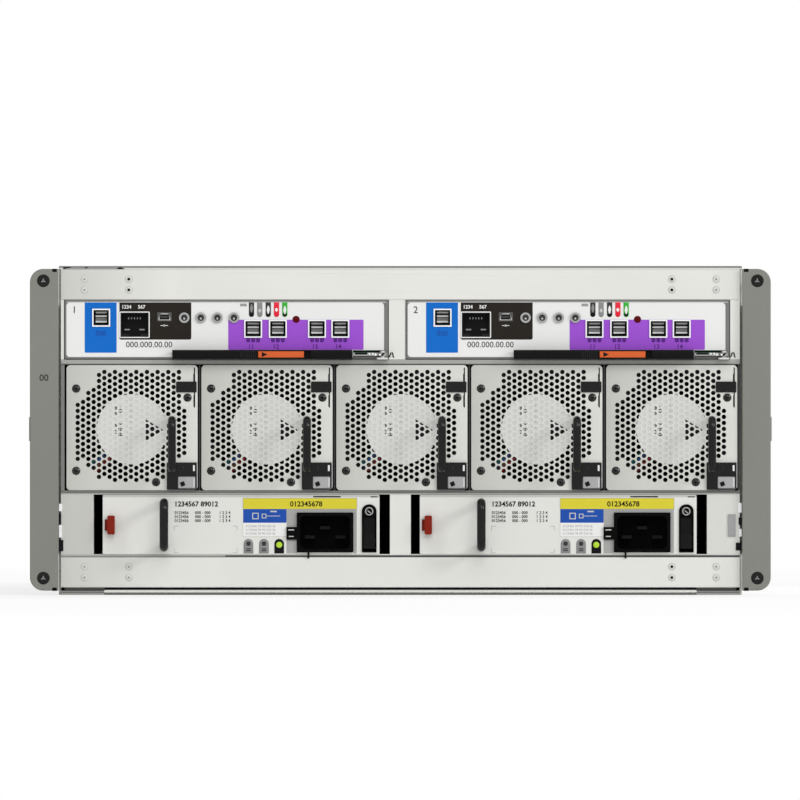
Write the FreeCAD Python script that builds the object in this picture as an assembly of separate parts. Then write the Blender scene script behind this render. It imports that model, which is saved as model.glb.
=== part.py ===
# Storage array: a rack enclosure with plug-in modules and two drive drawers
# The photographed face looks along -Y, X runs across it and Z is up, in millimetres
import FreeCAD
import Part
import math
import os

Vector = FreeCAD.Vector

# Driving dimensions of the enclosure
chassis_width = 445.2
chassis_height = 214.3
chassis_depth = 868.0
handle_reach = 22.0
fascia_reach = 43.0
rack_width = 482.6
rack_hole_across = 465.1
rack_hole_up = 193.675

# Sheet thicknesses and clearances
wall = 1.5
sheet = 1.2
thin_sheet = 1.0
board_thickness = 2.4
slide_gap = 0.3
module_gap = 0.5

# Planes along the depth, front to back
half_length = (chassis_depth + handle_reach + fascia_reach) / 2
y_face = -half_length + handle_reach
y_rear = y_face + chassis_depth
bay_depth = 338.0
y_midplane = y_face + bay_depth
fan_board_depth = 126.0
y_fan_board = y_face + fan_board_depth

# Levels, bottom to top
floor_top = 3.0
beam_low_bottom = 4.8
beam_low_top = 24.9
supply_floor = 26.5
shelf_low_bottom = 65.5
shelf_low_top = 68.1
shelf_high_bottom = 150.0
shelf_high_top = 153.4
beam_high_bottom = 192.2
cover_bottom = chassis_height - 2.0

# Inner faces of the side walls
wall_outer = chassis_width / 2
wall_inner = wall_outer - wall

# Input/output modules
io_width = 210.6
io_height = 37.6
io_depth = 330.0
io_left_edges = (-218.6, 3.8)

# Fan modules
fan_count = 5
fan_pitch = 87.9
fan_width = 85.4
fan_height = 81.6
fan_depth = 120.0
fan_left = -217.5

# Power supplies
supply_height = 38.7
supply_face_width = 180.3
supply_depth = 330.0
supply_face_inset = 5.9
supply_post_half = 6.8
supply_outer_edge = 199.8

# Drawers
drawer_width = 418.0
drawer_wall_height = 88.0
rows_of_drives = 3
drives_in_row = 14
drive_size = (26.1, 147.0, 101.6)
drive_pitch = 29.2
row_pitch = 160.0
fascia_thickness = 12.0
drawer_floors = (3.6, 107.6)


def block(x0, x1, y0, y1, z0, z1):
    return Part.makeBox(x1 - x0, y1 - y0, z1 - z0, Vector(x0, y0, z0))


def edges_along(solid, axis):
    # straight edges parallel to one axis, for rounding a block's corners
    index = "xyz".index(axis)
    found = []
    for edge in solid.Edges:
        run = edge.Vertexes[-1].Point - edge.Vertexes[0].Point
        others = [abs(run[i]) for i in range(3) if i != index]
        if abs(run[index]) > 0.01 and max(others) < 0.001:
            found.append(edge)
    return found


def rounded_block(x0, x1, y0, y1, z0, z1, radius, axis="y"):
    solid = block(x0, x1, y0, y1, z0, z1)
    return solid.makeFillet(radius, edges_along(solid, axis))


def rod(x, y, z, radius, length, axis="y"):
    # round bar that starts at the given point and runs along one axis
    directions = {"x": Vector(1, 0, 0), "y": Vector(0, 1, 0), "z": Vector(0, 0, 1)}
    return Part.makeCylinder(radius, length, Vector(x, y, z), directions[axis])


def tapered_rod(x, y, z, radius_start, radius_end, length):
    return Part.makeCone(radius_start, radius_end, length, Vector(x, y, z), Vector(0, 1, 0))


def join(solids):
    # one clean solid from pieces that touch
    result = solids[0].multiFuse(solids[1:])
    return result.removeSplitter()


def group(solids):
    return Part.makeCompound(solids)


def moved(shape, x=0.0, y=0.0, z=0.0):
    copy = shape.copy()
    copy.translate(Vector(x, y, z))
    return copy


def save(name, shape):
    for solid in shape.Solids:
        if not solid.isValid():
            print("not valid:", name)
    shape.exportStep(os.path.join("parts", name + ".step"))
    print(name, len(shape.Solids), "solids")


def bow_handle(x, y_foot, reach, z_low, z_high, bar_radius, bend_radius):
    # round bar bent into a U that stands off the face
    y_grip = y_foot - reach + bar_radius
    turn = bend_radius * (1 - math.sqrt(0.5))
    points = [
        Vector(x, y_foot, z_low),
        Vector(x, y_grip + bend_radius, z_low),
        Vector(x, y_grip + turn, z_low + turn),
        Vector(x, y_grip, z_low + bend_radius),
        Vector(x, y_grip, z_high - bend_radius),
        Vector(x, y_grip + turn, z_high - turn),
        Vector(x, y_grip + bend_radius, z_high),
        Vector(x, y_foot, z_high),
    ]
    edges = [
        Part.LineSegment(points[0], points[1]).toShape(),
        Part.Arc(points[1], points[2], points[3]).toShape(),
        Part.LineSegment(points[3], points[4]).toShape(),
        Part.Arc(points[4], points[5], points[6]).toShape(),
        Part.LineSegment(points[6], points[7]).toShape(),
    ]
    section = Part.Wire(Part.makeCircle(bar_radius, points[0], Vector(0, -1, 0)))
    return Part.Wire(edges).makePipeShell([section], True, True)


# Chassis pan: floor with a front hem, and side walls that start a little behind the face
corner_plate_width = 26.0
wall_setback = 14.0
hem_half = 192.3
hem_top = 3.7
hem_depth = 4.0
hem_groove = (1.5, 2.0)


def chassis_pan():
    floor = block(-wall_inner, wall_inner, y_face, y_rear, 0, floor_top)
    hem = block(-hem_half, hem_half, y_face, y_face + hem_depth, floor_top - 1, hem_top)
    pieces = [floor, hem]
    for side in (-1, 1):
        x_pair = sorted((side * wall_inner, side * wall_outer))
        pieces.append(block(x_pair[0], x_pair[1], y_face + wall_setback, y_rear, 0, cover_bottom))
    groove = block(-wall_outer, wall_outer, y_face - 1, y_face + 1.2, hem_groove[0], hem_groove[1])
    return join(pieces).cut(groove)


# Cover: a lid with pressed stiffening ribs and a seam over the midplane
cover_rib_depth = 1.0
cover_rib_width = 12.0


def top_cover():
    lid = block(-wall_outer, wall_outer, y_face, y_rear, cover_bottom, chassis_height)
    lid = lid.makeChamfer(0.6, [e for e in edges_along(lid, "y") if e.BoundBox.ZMin > cover_bottom + 1])
    ribs = []
    for x in (-140.0, 0.0, 140.0):
        for y0, y1 in ((y_face + 60, y_midplane - 20), (y_midplane + 60, y_rear - 60)):
            ribs.append(rounded_block(x - cover_rib_width / 2, x + cover_rib_width / 2, y0, y1,
                                      chassis_height - cover_rib_depth, chassis_height + 1,
                                      cover_rib_width / 2 - 0.1, "z"))
    seam = block(-wall_outer - 1, wall_outer + 1, y_midplane + 30, y_midplane + 31,
                 chassis_height - 0.8, chassis_height + 1)
    return lid.cut(group(ribs + [seam]))


# Beams: folded channels across the top and the bottom of the face
beam_return = 25.0
beam_bend = 0.7
open_rivet_across = 176.9
open_rivet_levels = (198.7, 205.7)
open_rivet_bore = 0.9
corner_plate_inset = 2.5


def channel_beam(z_low, z_high):
    outer = block(-wall_inner, wall_inner, y_face, y_face + beam_return, z_low, z_high)
    hollow = block(-wall_inner - 1, wall_inner + 1, y_face + wall, y_face + beam_return + 1,
                   z_low + wall, z_high - wall)
    beam = outer.cut(hollow)
    front = [e for e in edges_along(beam, "x") if e.BoundBox.YMax < y_face + 0.01]
    return beam.makeFillet(beam_bend, front)


def beam_upper():
    # the beam is bored through behind the four rivets with an open middle
    beam = channel_beam(beam_high_bottom, cover_bottom)
    holes = []
    for side in (-1, 1):
        for z in open_rivet_levels:
            holes.append(rod(side * open_rivet_across, y_face - 1, z, open_rivet_bore, 2 + wall))
    return beam.cut(group(holes))


def beam_lower():
    beam = channel_beam(beam_low_bottom, beam_low_top)
    corners = []
    for side in (-1, 1):
        near = wall_inner - corner_plate_inset
        x_pair = sorted((side * near, side * (near - corner_plate_width)))
        corners.append(block(x_pair[0], x_pair[1], y_face + 1, y_face + 9, floor_top, beam_low_bottom))
    return join([beam] + corners)


# Bay frame: three folded shelves, posts and fillers between them, and the fan dividers
side_strip_gap = 1.3
side_strip_fold = 20.0
strip_setback = 0.6
shelf_setback = 0.3


def folded_shelf(z_bottom, z_top, depth, thickness):
    # flat sheet whose front edge is folded down
    y0 = y_face + shelf_setback
    top = block(-wall_inner, wall_inner, y0, y_face + depth, z_top - thickness, z_top)
    lip = block(-wall_inner, wall_inner, y0, y0 + thickness, z_bottom, z_top)
    shelf = join([top, lip])
    front = [e for e in edges_along(shelf, "x")
             if e.BoundBox.YMax < y0 + 0.01 and e.BoundBox.ZMin > z_top - 0.01]
    return shelf.makeFillet(0.8, front)


def folded_post(x0, x1, z0, z1, depth, open_sides):
    # front strip with a side wall folded back on each side that carries a module
    y0 = y_face + strip_setback
    pieces = [block(x0, x1, y0, y0 + sheet, z0, z1)]
    if "left" in open_sides:
        pieces.append(block(x0, x0 + sheet, y0, y_face + depth, z0, z1))
    if "right" in open_sides:
        pieces.append(block(x1 - sheet, x1, y0, y_face + depth, z0, z1))
    return join(pieces) if len(pieces) > 1 else pieces[0]


def bay_frame():
    pieces = [
        folded_shelf(beam_low_top, supply_floor, bay_depth, supply_floor - beam_low_top),
        folded_shelf(shelf_low_bottom, shelf_low_top, bay_depth, sheet),
        folded_shelf(shelf_high_bottom, shelf_high_top, bay_depth, sheet),
    ]
    supply_bays = (
        (-wall_inner, -supply_outer_edge, ("right",)),
        (-supply_post_half, supply_post_half, ("left", "right")),
        (supply_outer_edge, wall_inner, ("left",)),
    )
    for x0, x1, sides in supply_bays:
        pieces.append(folded_post(x0, x1, supply_floor, shelf_low_bottom, supply_depth, sides))
    io_right = io_left_edges[1] + io_width
    io_bays = (
        (-wall_inner, io_left_edges[0] - module_gap, ("right",)),
        (io_left_edges[0] + io_width + module_gap, io_left_edges[1] - module_gap, ("left", "right")),
        (io_right + module_gap, wall_inner, ("left",)),
    )
    for x0, x1, sides in io_bays:
        pieces.append(folded_post(x0, x1, shelf_high_top, beam_high_bottom, io_depth, sides))
    for index in range(1, fan_count):
        x = fan_left + index * fan_pitch - (fan_pitch - fan_width) / 2
        pieces.append(block(x - thin_sheet / 2, x + thin_sheet / 2, y_face + 3, y_fan_board,
                            shelf_low_top, shelf_high_bottom))
    fans_right = fan_left + (fan_count - 1) * fan_pitch + fan_width
    pieces.append(side_strip(-wall_inner, fan_left - side_strip_gap))
    pieces.append(side_strip(fans_right + module_gap, wall_inner))
    return group(pieces)


def side_strip(x0, x1):
    # narrow upright strip beside an outer fan, with its edge folded back
    y0 = y_face + strip_setback
    strip = block(x0, x1, y0, y0 + sheet, shelf_low_top, shelf_high_bottom)
    fold_width = min(sheet, x1 - x0)
    edge = x1 - fold_width if x0 < 0 else x0
    fold = block(edge, edge + fold_width, y0, y0 + side_strip_fold, shelf_low_top, shelf_high_bottom)
    return join([strip, fold])


# Fan board and midplane: circuit boards with plug blocks and air windows
plug_depth = 6.0
fan_plug_half = 7.0
fan_plug_reach = 4.0
fan_plug_levels = (3.5, 8.5)
air_window_radius = 37.0


def fan_centre(index):
    return fan_left + index * fan_pitch + fan_width / 2


def fan_board():
    board = block(-wall_inner, wall_inner, y_fan_board, y_fan_board + board_thickness,
                  shelf_low_top, shelf_high_bottom)
    windows = []
    for index in range(fan_count):
        windows.append(rod(fan_centre(index), y_fan_board - 1, fan_axis_z, air_window_radius,
                           board_thickness + 2))
    board = board.cut(group(windows))
    plugs = []
    for index in range(fan_count):
        x = fan_centre(index) + fan_plug_from_centre
        plugs.append(block(x - fan_plug_half, x + fan_plug_half, y_fan_board - fan_plug_reach, y_fan_board,
                           shelf_low_top + fan_plug_levels[0], shelf_low_top + fan_plug_levels[1]))
    return join([board] + plugs)


def midplane():
    board = block(-wall_inner, wall_inner, y_midplane, y_midplane + board_thickness,
                  beam_low_top, beam_high_bottom + 12)
    windows = []
    for index in range(fan_count):
        x = fan_centre(index)
        windows.append(rounded_block(x - 36, x + 36, y_midplane - 1, y_midplane + board_thickness + 1,
                                     shelf_low_top + 6, shelf_high_bottom - 6, 5))
    board = board.cut(group(windows))
    plugs = []
    for left in io_left_edges:
        x = left + io_width / 2
        plugs.append(block(x - 40, x + 40, y_midplane - plug_depth, y_midplane, 160, 176))
    for side in (-1, 1):
        x = supply_face_left(side) + supply_face_width / 2
        plugs.append(block(x - 30, x + 30, y_midplane - plug_depth, y_midplane, 36, 52))
    for z in (52.0, 163.0):
        y0 = y_midplane + board_thickness
        plugs.append(block(-60, 60, y0, y0 + plug_depth, z - 6, z + 6))
    return join([board] + plugs)


# Drawer rails: a channel for each side of each drawer, riveted to the side walls
rail_height = 34.0
rail_depth = 11.0
rail_length = 480.0
rail_member_height = 24.0


def rail_centre(floor):
    return floor + 44.0


def drawer_rails():
    rails = []
    y0 = y_rear - 4 - rail_length
    for floor in drawer_floors:
        z = rail_centre(floor)
        for side in (-1, 1):
            near, far = side * wall_inner, side * (wall_inner - rail_depth)
            x0, x1 = min(near, far), max(near, far)
            outer = block(x0, x1, y0, y0 + rail_length, z - rail_height / 2, z + rail_height / 2)
            inner_x = sorted((side * (wall_inner - 2), side * (wall_inner - rail_depth - 1)))
            groove = block(inner_x[0], inner_x[1], y0 - 1, y0 + rail_length + 1,
                           z - rail_member_height / 2 - slide_gap, z + rail_member_height / 2 + slide_gap)
            rails.append(outer.cut(groove))
    return group(rails)


# Rack ears: cast end plates with a side flange and recessed screw seats
ear_top = 212.4
ear_bottom = 2.8
ear_radius = 8.7
ear_thickness = 3.0
ear_flange_depth = 24.0
ear_flange_inset = 24.0
ear_seat_radius = 4.2
ear_seat_depth = 1.2
ear_screw_z = chassis_height / 2 + 0.65
ear_nub = 0.6
screw_head_radius = 3.9
screw_radius = 2.5
screw_length = 16.0
screw_neck_radius = 2.3
screw_neck_behind = 0.3


def ear_outline(side):
    # one plate, round at its two outer corners
    x0, x1 = sorted((side * wall_outer, side * rack_width / 2))
    plate = block(x0, x1, y_face - ear_thickness, y_face, ear_bottom, ear_top)
    corners = [e for e in edges_along(plate, "y") if abs(e.Vertexes[0].Point.x) > wall_outer + 1]
    plate = plate.makeFillet(ear_radius, corners)
    rim = [e for e in plate.Edges if e.BoundBox.YMax < y_face - ear_thickness + 0.01]
    return plate.makeChamfer(0.6, rim)


def rack_ear(side):
    plate = ear_outline(side)
    flange_x = sorted((side * wall_outer, side * (wall_outer + wall)))
    flange = block(flange_x[0], flange_x[1], y_face - 0.5, y_face + ear_flange_depth,
                   ear_bottom + ear_flange_inset, ear_top - ear_flange_inset)
    nub_x = sorted((side * (rack_width / 2 - 1), side * (rack_width / 2 + ear_nub)))
    nub_z = chassis_height / 2 + 0.9
    nub = block(nub_x[0], nub_x[1], y_face - 2.2, y_face - 0.2, nub_z - 7.8, nub_z + 7.8)
    ear = join([plate, flange, nub])
    tools = []
    for up in (-1, 1):
        z = ear_screw_z + up * rack_hole_up / 2
        x = side * rack_hole_across / 2
        tools.append(rod(x, y_face - ear_thickness - 1, z, ear_seat_radius, ear_seat_depth + 1))
        tools.append(rod(x, y_face - ear_thickness - 1, z, screw_radius, ear_thickness + 2))
        notch_x = sorted((side * (wall_outer + 1.2), side * (wall_outer + 4.2)))
        notch_z = ear_top - 2 if up > 0 else ear_bottom
        tools.append(block(notch_x[0], notch_x[1], y_face - ear_thickness - 1, y_face + 1,
                           notch_z, notch_z + 2))
    return ear.cut(group(tools))


def rack_screws():
    screws = []
    for side in (-1, 1):
        for up in (-1, 1):
            x = side * rack_hole_across / 2
            z = ear_screw_z + up * rack_hole_up / 2
            seat = y_face - ear_thickness + ear_seat_depth
            head = rod(x, seat - 1.4, z, screw_head_radius, 1.4)
            head = head.makeFillet(0.5, [e for e in head.Edges if e.BoundBox.YMax < seat - 1.3])
            # a slimmer neck passes through the ear, and the full shank starts just behind it
            neck = rod(x, seat, z, screw_neck_radius, y_face + screw_neck_behind - seat)
            shank_start = y_face + screw_neck_behind
            shank = rod(x, shank_start, z, screw_radius, seat + screw_length - shank_start)
            shank = shank.makeChamfer(0.6, [e for e in shank.Edges if e.BoundBox.YMin > shank_start + 1])
            socket = rod(x, seat - 2, z, 1.7, 1.4)
            screws.append(head.fuse(neck).fuse(shank).removeSplitter().cut(socket))
    return group(screws)


# Fan module: sheet sleeve, fan frame, perforated grille, rotor, handle set and release button
fan_axis_z = 107.9
fan_top = shelf_low_top + fan_height
fan_plug_from_centre = 22.0
grille_thickness = 1.0
face_corner = 2.6
frame_front = 1.3
frame_depth = 38.0
bore_radius = 36.5
hub_radius = 20.0
motor_radius = 23.4
motor_front = 0.3
motor_depth = 7.0
strut_depth = 4.0
shaft_radius = 2.0
strut_width = 3.2
blade_count = 7
blade_tip_radius = 35.6
blade_thickness = 2.0
rotor_middle = 24.0
shaft_length = 21.0

hole_radius = 1.46
hole_column_pitch = 3.47
hole_row_pitch = 3.905
hole_column_count = 21
grille_centre = (42.0, 42.0)
# the perforated field steps in at its left and right ends: last column of a step, lowest, highest
field_steps = ((2, -22.2, 16.2), (4, -28.0, 24.0), (5, -34.0, 35.5), (6, -32.0, 35.5),
               (20, -35.5, 35.5), (21, -18.0, 14.2))
module_screws = ((6.25, 66.3), (78.8, 60.4), (6.25, 12.7), (58.3, 5.3))
screw_clear = 5.3
hole_margin = 0.1
countersink_radius = 3.1
countersink_hole = 1.6

guide_block = (65.4, 84.9, 0.3, 18.2)
guide_depth = 8.0
guide_proud = 1.2
button_box = (72.65, 83.85, 1.3, 8.9)
button_proud = 2.6
button_length = 6.8
cover_strip = (71.4, 84.8, 63.9, 70.9)
cover_strip_proud = 1.0
fan_bow_x = 68.8
fan_bow_z = (14.2, 45.8)
fan_bow_radius = 2.65
fan_bow_bend = 5.0
edge_slit = (83.0, 83.8, 54.0, 80.0)


def sleeve_hollow(left):
    # the room inside the sleeve, open at both ends
    return rounded_block(left + thin_sheet, left + fan_width - thin_sheet, y_face, y_face + fan_depth + 1,
                         shelf_low_top + thin_sheet, fan_top - thin_sheet, face_corner - thin_sheet)


def fan_shell(left):
    x0, x1 = left, left + fan_width
    y0 = y_face + grille_thickness
    outer = rounded_block(x0, x1, y0, y_face + fan_depth, shelf_low_top, fan_top, face_corner)
    sleeve = outer.cut(sleeve_hollow(left))
    x_plug = left + fan_width / 2 + fan_plug_from_centre
    y_plug = y_fan_board - fan_plug_reach - slide_gap
    plug = block(x_plug - 8, x_plug + 8, y_plug - 12, y_plug,
                 shelf_low_top + thin_sheet / 2, shelf_low_top + 9)
    return group([join([sleeve, plug]), fan_frame(left)])


def fan_frame(left):
    # square frame with a round bore; the motor base stands on four struts right behind the grille
    x_axis = left + fan_width / 2
    y0 = y_face + frame_front
    frame = rounded_block(left + thin_sheet, left + fan_width - thin_sheet, y0, y0 + frame_depth,
                          shelf_low_top + thin_sheet, fan_top - thin_sheet, face_corner - thin_sheet)
    frame = frame.cut(rod(x_axis, y0 - 1, fan_axis_z, bore_radius, frame_depth + 2))
    y_base = y0 + motor_front
    base = rod(x_axis, y_base, fan_axis_z, motor_radius, motor_depth)
    base = base.makeFillet(1.0, [e for e in base.Edges if e.BoundBox.YMin > y_base + motor_depth - 0.1])
    struts = []
    for index in range(4):
        strut = block(x_axis - strut_width / 2, x_axis + strut_width / 2, y_base + 0.5,
                      y_base + 0.5 + strut_depth, fan_axis_z + motor_radius - 1,
                      fan_axis_z + bore_radius + 0.6)
        strut.rotate(Vector(x_axis, 0, fan_axis_z), Vector(0, 1, 0), 90 * index)
        struts.append(strut)
    frame = join([frame, base] + struts)
    bearing = rod(x_axis, y_base + 1.0, fan_axis_z, shaft_radius + slide_gap, motor_depth)
    x0, x1, z0, z1 = guide_block
    guide_room = block(left + x0 - slide_gap, left + fan_width, y0 - 1, y_face + guide_depth + slide_gap,
                       shelf_low_top, shelf_low_top + z1 + slide_gap)
    return frame.cut(group([bearing, guide_room]))


def hole_in_field(column, x, z):
    # true where the perforated field has a hole, in the face's own coordinates
    for last_column, low, high in field_steps:
        if column <= last_column:
            if not low <= z - grille_centre[1] <= high:
                return False
            break
    for screw_x, screw_z in module_screws:
        if math.hypot(x - screw_x, z - screw_z) < screw_clear:
            return False
    reach = hole_radius + hole_margin
    for x0, x1, z0, z1 in (guide_block, cover_strip, edge_slit):
        if x0 - reach < x < x1 + reach and z0 - reach < z < z1 + reach:
            return False
    return math.hypot(x - fan_bow_x, z - fan_bow_z[1]) > fan_bow_radius + reach


def grille_holes():
    places = []
    middle = (hole_column_count + 1) / 2
    for column in range(1, hole_column_count + 1):
        x = grille_centre[0] + (column - middle) * hole_column_pitch
        offset = 0.0 if column % 2 == 0 else hole_row_pitch / 2
        for row in range(-9, 10):
            z = grille_centre[1] + row * hole_row_pitch + offset
            if hole_in_field(column, x, z):
                places.append((x, z))
    return places


def fan_grille(left):
    # the plate is one face with every hole as an inner wire, pushed through its thickness
    blank = rounded_block(left, left + fan_width, y_face, y_face + grille_thickness,
                          shelf_low_top + slide_gap, fan_top, face_corner)
    corner = block(left + guide_block[0], left + fan_width + 1, y_face - 1, y_face + 2,
                   shelf_low_top - 1, shelf_low_top + guide_block[3])
    slit = block(left + edge_slit[0], left + edge_slit[1], y_face - 1, y_face + 2,
                 shelf_low_top + edge_slit[2], shelf_low_top + edge_slit[3])
    blank = blank.cut(group([corner, slit]))
    front = [f for f in blank.Faces if f.BoundBox.YMax < y_face + 0.01][0]
    wires = [front.OuterWire] + [w for w in front.Wires if not w.isSame(front.OuterWire)]
    for x, z in grille_holes():
        centre = Vector(left + x, y_face, shelf_low_top + z)
        wires.append(Part.Wire(Part.makeCircle(hole_radius, centre, Vector(0, 1, 0))))
    for x, z in module_screws:
        centre = Vector(left + x, y_face, shelf_low_top + z)
        wires.append(Part.Wire(Part.makeCircle(countersink_radius, centre, Vector(0, 1, 0))))
    perforated = Part.makeFace(wires, "Part::FaceMakerBullseye")
    plate = perforated.extrude(Vector(0, grille_thickness, 0))
    pieces = [plate.Solids[0]]
    for x, z in module_screws:
        pieces.append(screw_seat(left + x, shelf_low_top + z))
    return group(pieces)


def screw_seat(x, z):
    # dished ring that the screw head sinks into
    ring = rod(x, y_face, z, countersink_radius, grille_thickness)
    dish = tapered_rod(x, y_face, z, countersink_radius - 0.1, countersink_hole, grille_thickness - 0.1)
    return ring.cut(dish).cut(rod(x, y_face, z, countersink_hole, grille_thickness + 1))


def blade_section(radius, pitch_degrees, chord, camber):
    # arc-shaped section at one radius, its chord turned from the axis by the pitch angle
    pitch = math.radians(pitch_degrees)
    along = (math.cos(pitch), math.sin(pitch))
    across = (-along[1], along[0])

    def point(run, rise):
        return Vector(radius, run * along[0] + rise * across[0], run * along[1] + rise * across[1])

    half = chord / 2
    edge = blade_thickness * 0.25
    middle = blade_thickness * 0.5
    upper = Part.Arc(point(-half, edge), point(0, camber + middle), point(half, edge)).toShape()
    lower = Part.Arc(point(half, -edge), point(0, camber - middle), point(-half, -edge)).toShape()
    nose = Part.LineSegment(point(half, edge), point(half, -edge)).toShape()
    tail = Part.LineSegment(point(-half, -edge), point(-half, edge)).toShape()
    return Part.Wire([upper, nose, lower, tail])


def fan_blade():
    sections = [
        blade_section(hub_radius - 1.5, 32, 24, 2.2),
        blade_section(28.0, 42, 26, 2.0),
        blade_section(blade_tip_radius + 2, 50, 28, 1.8),
    ]
    blade = Part.makeLoft(sections, True, False)
    trim = Part.makeCylinder(blade_tip_radius, 60, Vector(0, -30, 0), Vector(0, 1, 0))
    return blade.common(trim)


def fan_rotor():
    # rotor about the Y axis, with its middle at the origin
    hub = Part.makeCylinder(hub_radius, 28, Vector(0, -14, 0), Vector(0, 1, 0))
    hub = hub.makeFillet(2.5, [e for e in hub.Edges if e.BoundBox.YMin > 13.9])
    dish = Part.makeCylinder(9, 3, Vector(0, 12, 0), Vector(0, 1, 0))
    shaft = Part.makeCylinder(shaft_radius, shaft_length, Vector(0, -shaft_length, 0), Vector(0, 1, 0))
    blade = fan_blade()
    blades = []
    for index in range(blade_count):
        copy = blade.copy()
        copy.rotate(Vector(0, 0, 0), Vector(0, 1, 0), 360.0 / blade_count * index)
        blades.append(copy)
    return join([hub.cut(dish), shaft] + blades)


def fan_handle(left):
    x0, x1, z0, z1 = guide_block
    front = rounded_block(left + x0, left + x1, y_face - guide_proud, y_face + grille_thickness,
                          shelf_low_top + z0, shelf_low_top + z1, 0.8)
    back = block(left + x0, left + fan_width, y_face + grille_thickness, y_face + guide_depth,
                 shelf_low_top, shelf_low_top + z1)
    body = join([front, back.common(sleeve_hollow(left))])
    bx0, bx1, bz0, bz1 = button_box
    pocket = block(left + bx0 - slide_gap, left + bx1 + slide_gap, y_face - guide_proud - 1,
                   y_face + guide_depth - 1.5, shelf_low_top + bz0 - slide_gap,
                   shelf_low_top + bz1 + slide_gap)
    body = body.cut(pocket)
    bow = bow_handle(left + fan_bow_x, y_face, handle_reach, shelf_low_top + fan_bow_z[0],
                     shelf_low_top + fan_bow_z[1], fan_bow_radius, fan_bow_bend)
    x0, x1, z0, z1 = cover_strip
    strip = rounded_block(left + x0, left + x1, y_face - cover_strip_proud, y_face,
                          shelf_low_top + z0, shelf_low_top + z1, 0.5)
    return group([join([body, bow]), strip])


def fan_latch(left):
    x0, x1, z0, z1 = button_box
    y0 = y_face - button_proud
    button = rounded_block(left + x0, left + x1, y0, y0 + button_length,
                           shelf_low_top + z0, shelf_low_top + z1, 0.6)
    front = [e for e in button.Edges if e.BoundBox.YMax < y0 + 0.01]
    return button.makeChamfer(0.5, front)


# Input/output module: case with its face, circuit board with ports, lever and release catch
io_bottom = shelf_high_top
io_top = io_bottom + io_height
io_face_thickness = 1.5
io_step_x = 187.6
io_step_height = 6.0
small_port = (11.0, 10.2)
small_port_wall = 1.0
small_port_depth = 16.0
data_port_x = 23.7
data_port_z = 27.2
expansion_ports_x = (122.7, 138.8, 164.3, 179.5)
expansion_ports_z = 20.0
network_port = (35.6, 55.3, 14.0, 31.2)
network_port_wall = 1.3
network_port_depth = 14.0
service_port = (60.3, 69.5, 24.9, 30.7)
jack_first_x = 77.8
jack_pitch = 10.8
jack_count = 4
jack_z = 27.2
jack_radius = 3.3
jack_bore = 1.7
jack_proud = 0.8
button_hole = (150.7, 26.0, 2.4)
io_board_z = 3.5
io_board_thickness = 1.6
lever_grip = (70.0, 187.3, 0.3, 6.2)
lever_grip_back = 1.0
lever_grip_depth = 8.5
lever_pivot_x = 207.0
lever_pivot_y = 5.2
lever_eye_radius = 3.4
lever_pin_radius = 1.6
lever_arm_thickness = 2.4
lever_arm_z = (2.2, 4.4)
catch_box = (126.0, 155.8, 1.2, 5.3)
catch_depth = 3.0
catch_proud = 0.6
catch_travel = 4.0
io_plug_half = 41.0


def port_places():
    # centres of the five small ports in the module's own coordinates
    places = [(data_port_x, data_port_z)]
    for x in expansion_ports_x:
        places.append((x, expansion_ports_z))
    return places


def io_case(left):
    x0, x1 = left, left + io_width
    y0, y1 = y_face + io_face_thickness, y_face + io_depth
    outer = block(x0, x1, y0, y1, io_bottom, io_top)
    inner = block(x0 + thin_sheet, x1 - thin_sheet, y0 - 1, y1 - thin_sheet,
                  io_bottom + thin_sheet, io_top - thin_sheet)
    x_plug = left + io_width / 2
    plug_gap = block(x_plug - io_plug_half, x_plug + io_plug_half, y1 - 3, y1 + 1,
                     io_bottom + 5.1, io_bottom + 23.5)
    vents = []
    for row in range(3):
        for column in range(12):
            vents.append(rounded_block(x0 + 20 + column * 15, x0 + 31 + column * 15,
                                       y0 + 120 + row * 12, y0 + 123 + row * 12,
                                       io_top - 2, io_top + 1, 1.4, "z"))
    shell = outer.cut(inner).cut(group([plug_gap] + vents))
    pivot = rod(left + lever_pivot_x, y_face - lever_pivot_y, io_bottom + 1.0, lever_pin_radius, 4.6, "z")
    tab = rounded_block(left + lever_pivot_x - 4, left + io_width, y_face - lever_pivot_y - 3.6, y_face + 3,
                        io_bottom, io_bottom + 1.2, 1.5, "z")
    return join([shell, io_face(left), tab, pivot])


def io_face(left):
    # face plate with rounded corners, a raised lower right corner and every port opening
    x0, x1 = left, left + io_width
    y0, y1 = y_face, y_face + io_face_thickness
    plate = rounded_block(x0, x1, y0, y1, io_bottom + 0.2, io_top, 2.0)
    tools = [block(left + io_step_x, x1 + 1, y0 - 1, y1 + 1, io_bottom - 1, io_bottom + io_step_height)]
    for x, z in port_places():
        tools.append(block(left + x - small_port[0] / 2, left + x + small_port[0] / 2, y0 - 1, y1 + 1,
                           io_bottom + z - small_port[1] / 2, io_bottom + z + small_port[1] / 2))
    for px0, px1, pz0, pz1 in (network_port, service_port):
        tools.append(block(left + px0, left + px1, y0 - 1, y1 + 1, io_bottom + pz0, io_bottom + pz1))
    for index in range(jack_count):
        x = left + jack_first_x + index * jack_pitch
        tools.append(rod(x, y0 - 1, io_bottom + jack_z, jack_radius, 4))
    tools.append(rod(left + button_hole[0], y0 - 1, io_bottom + button_hole[1], button_hole[2], 4))
    return plate.cut(group(tools))


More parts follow.
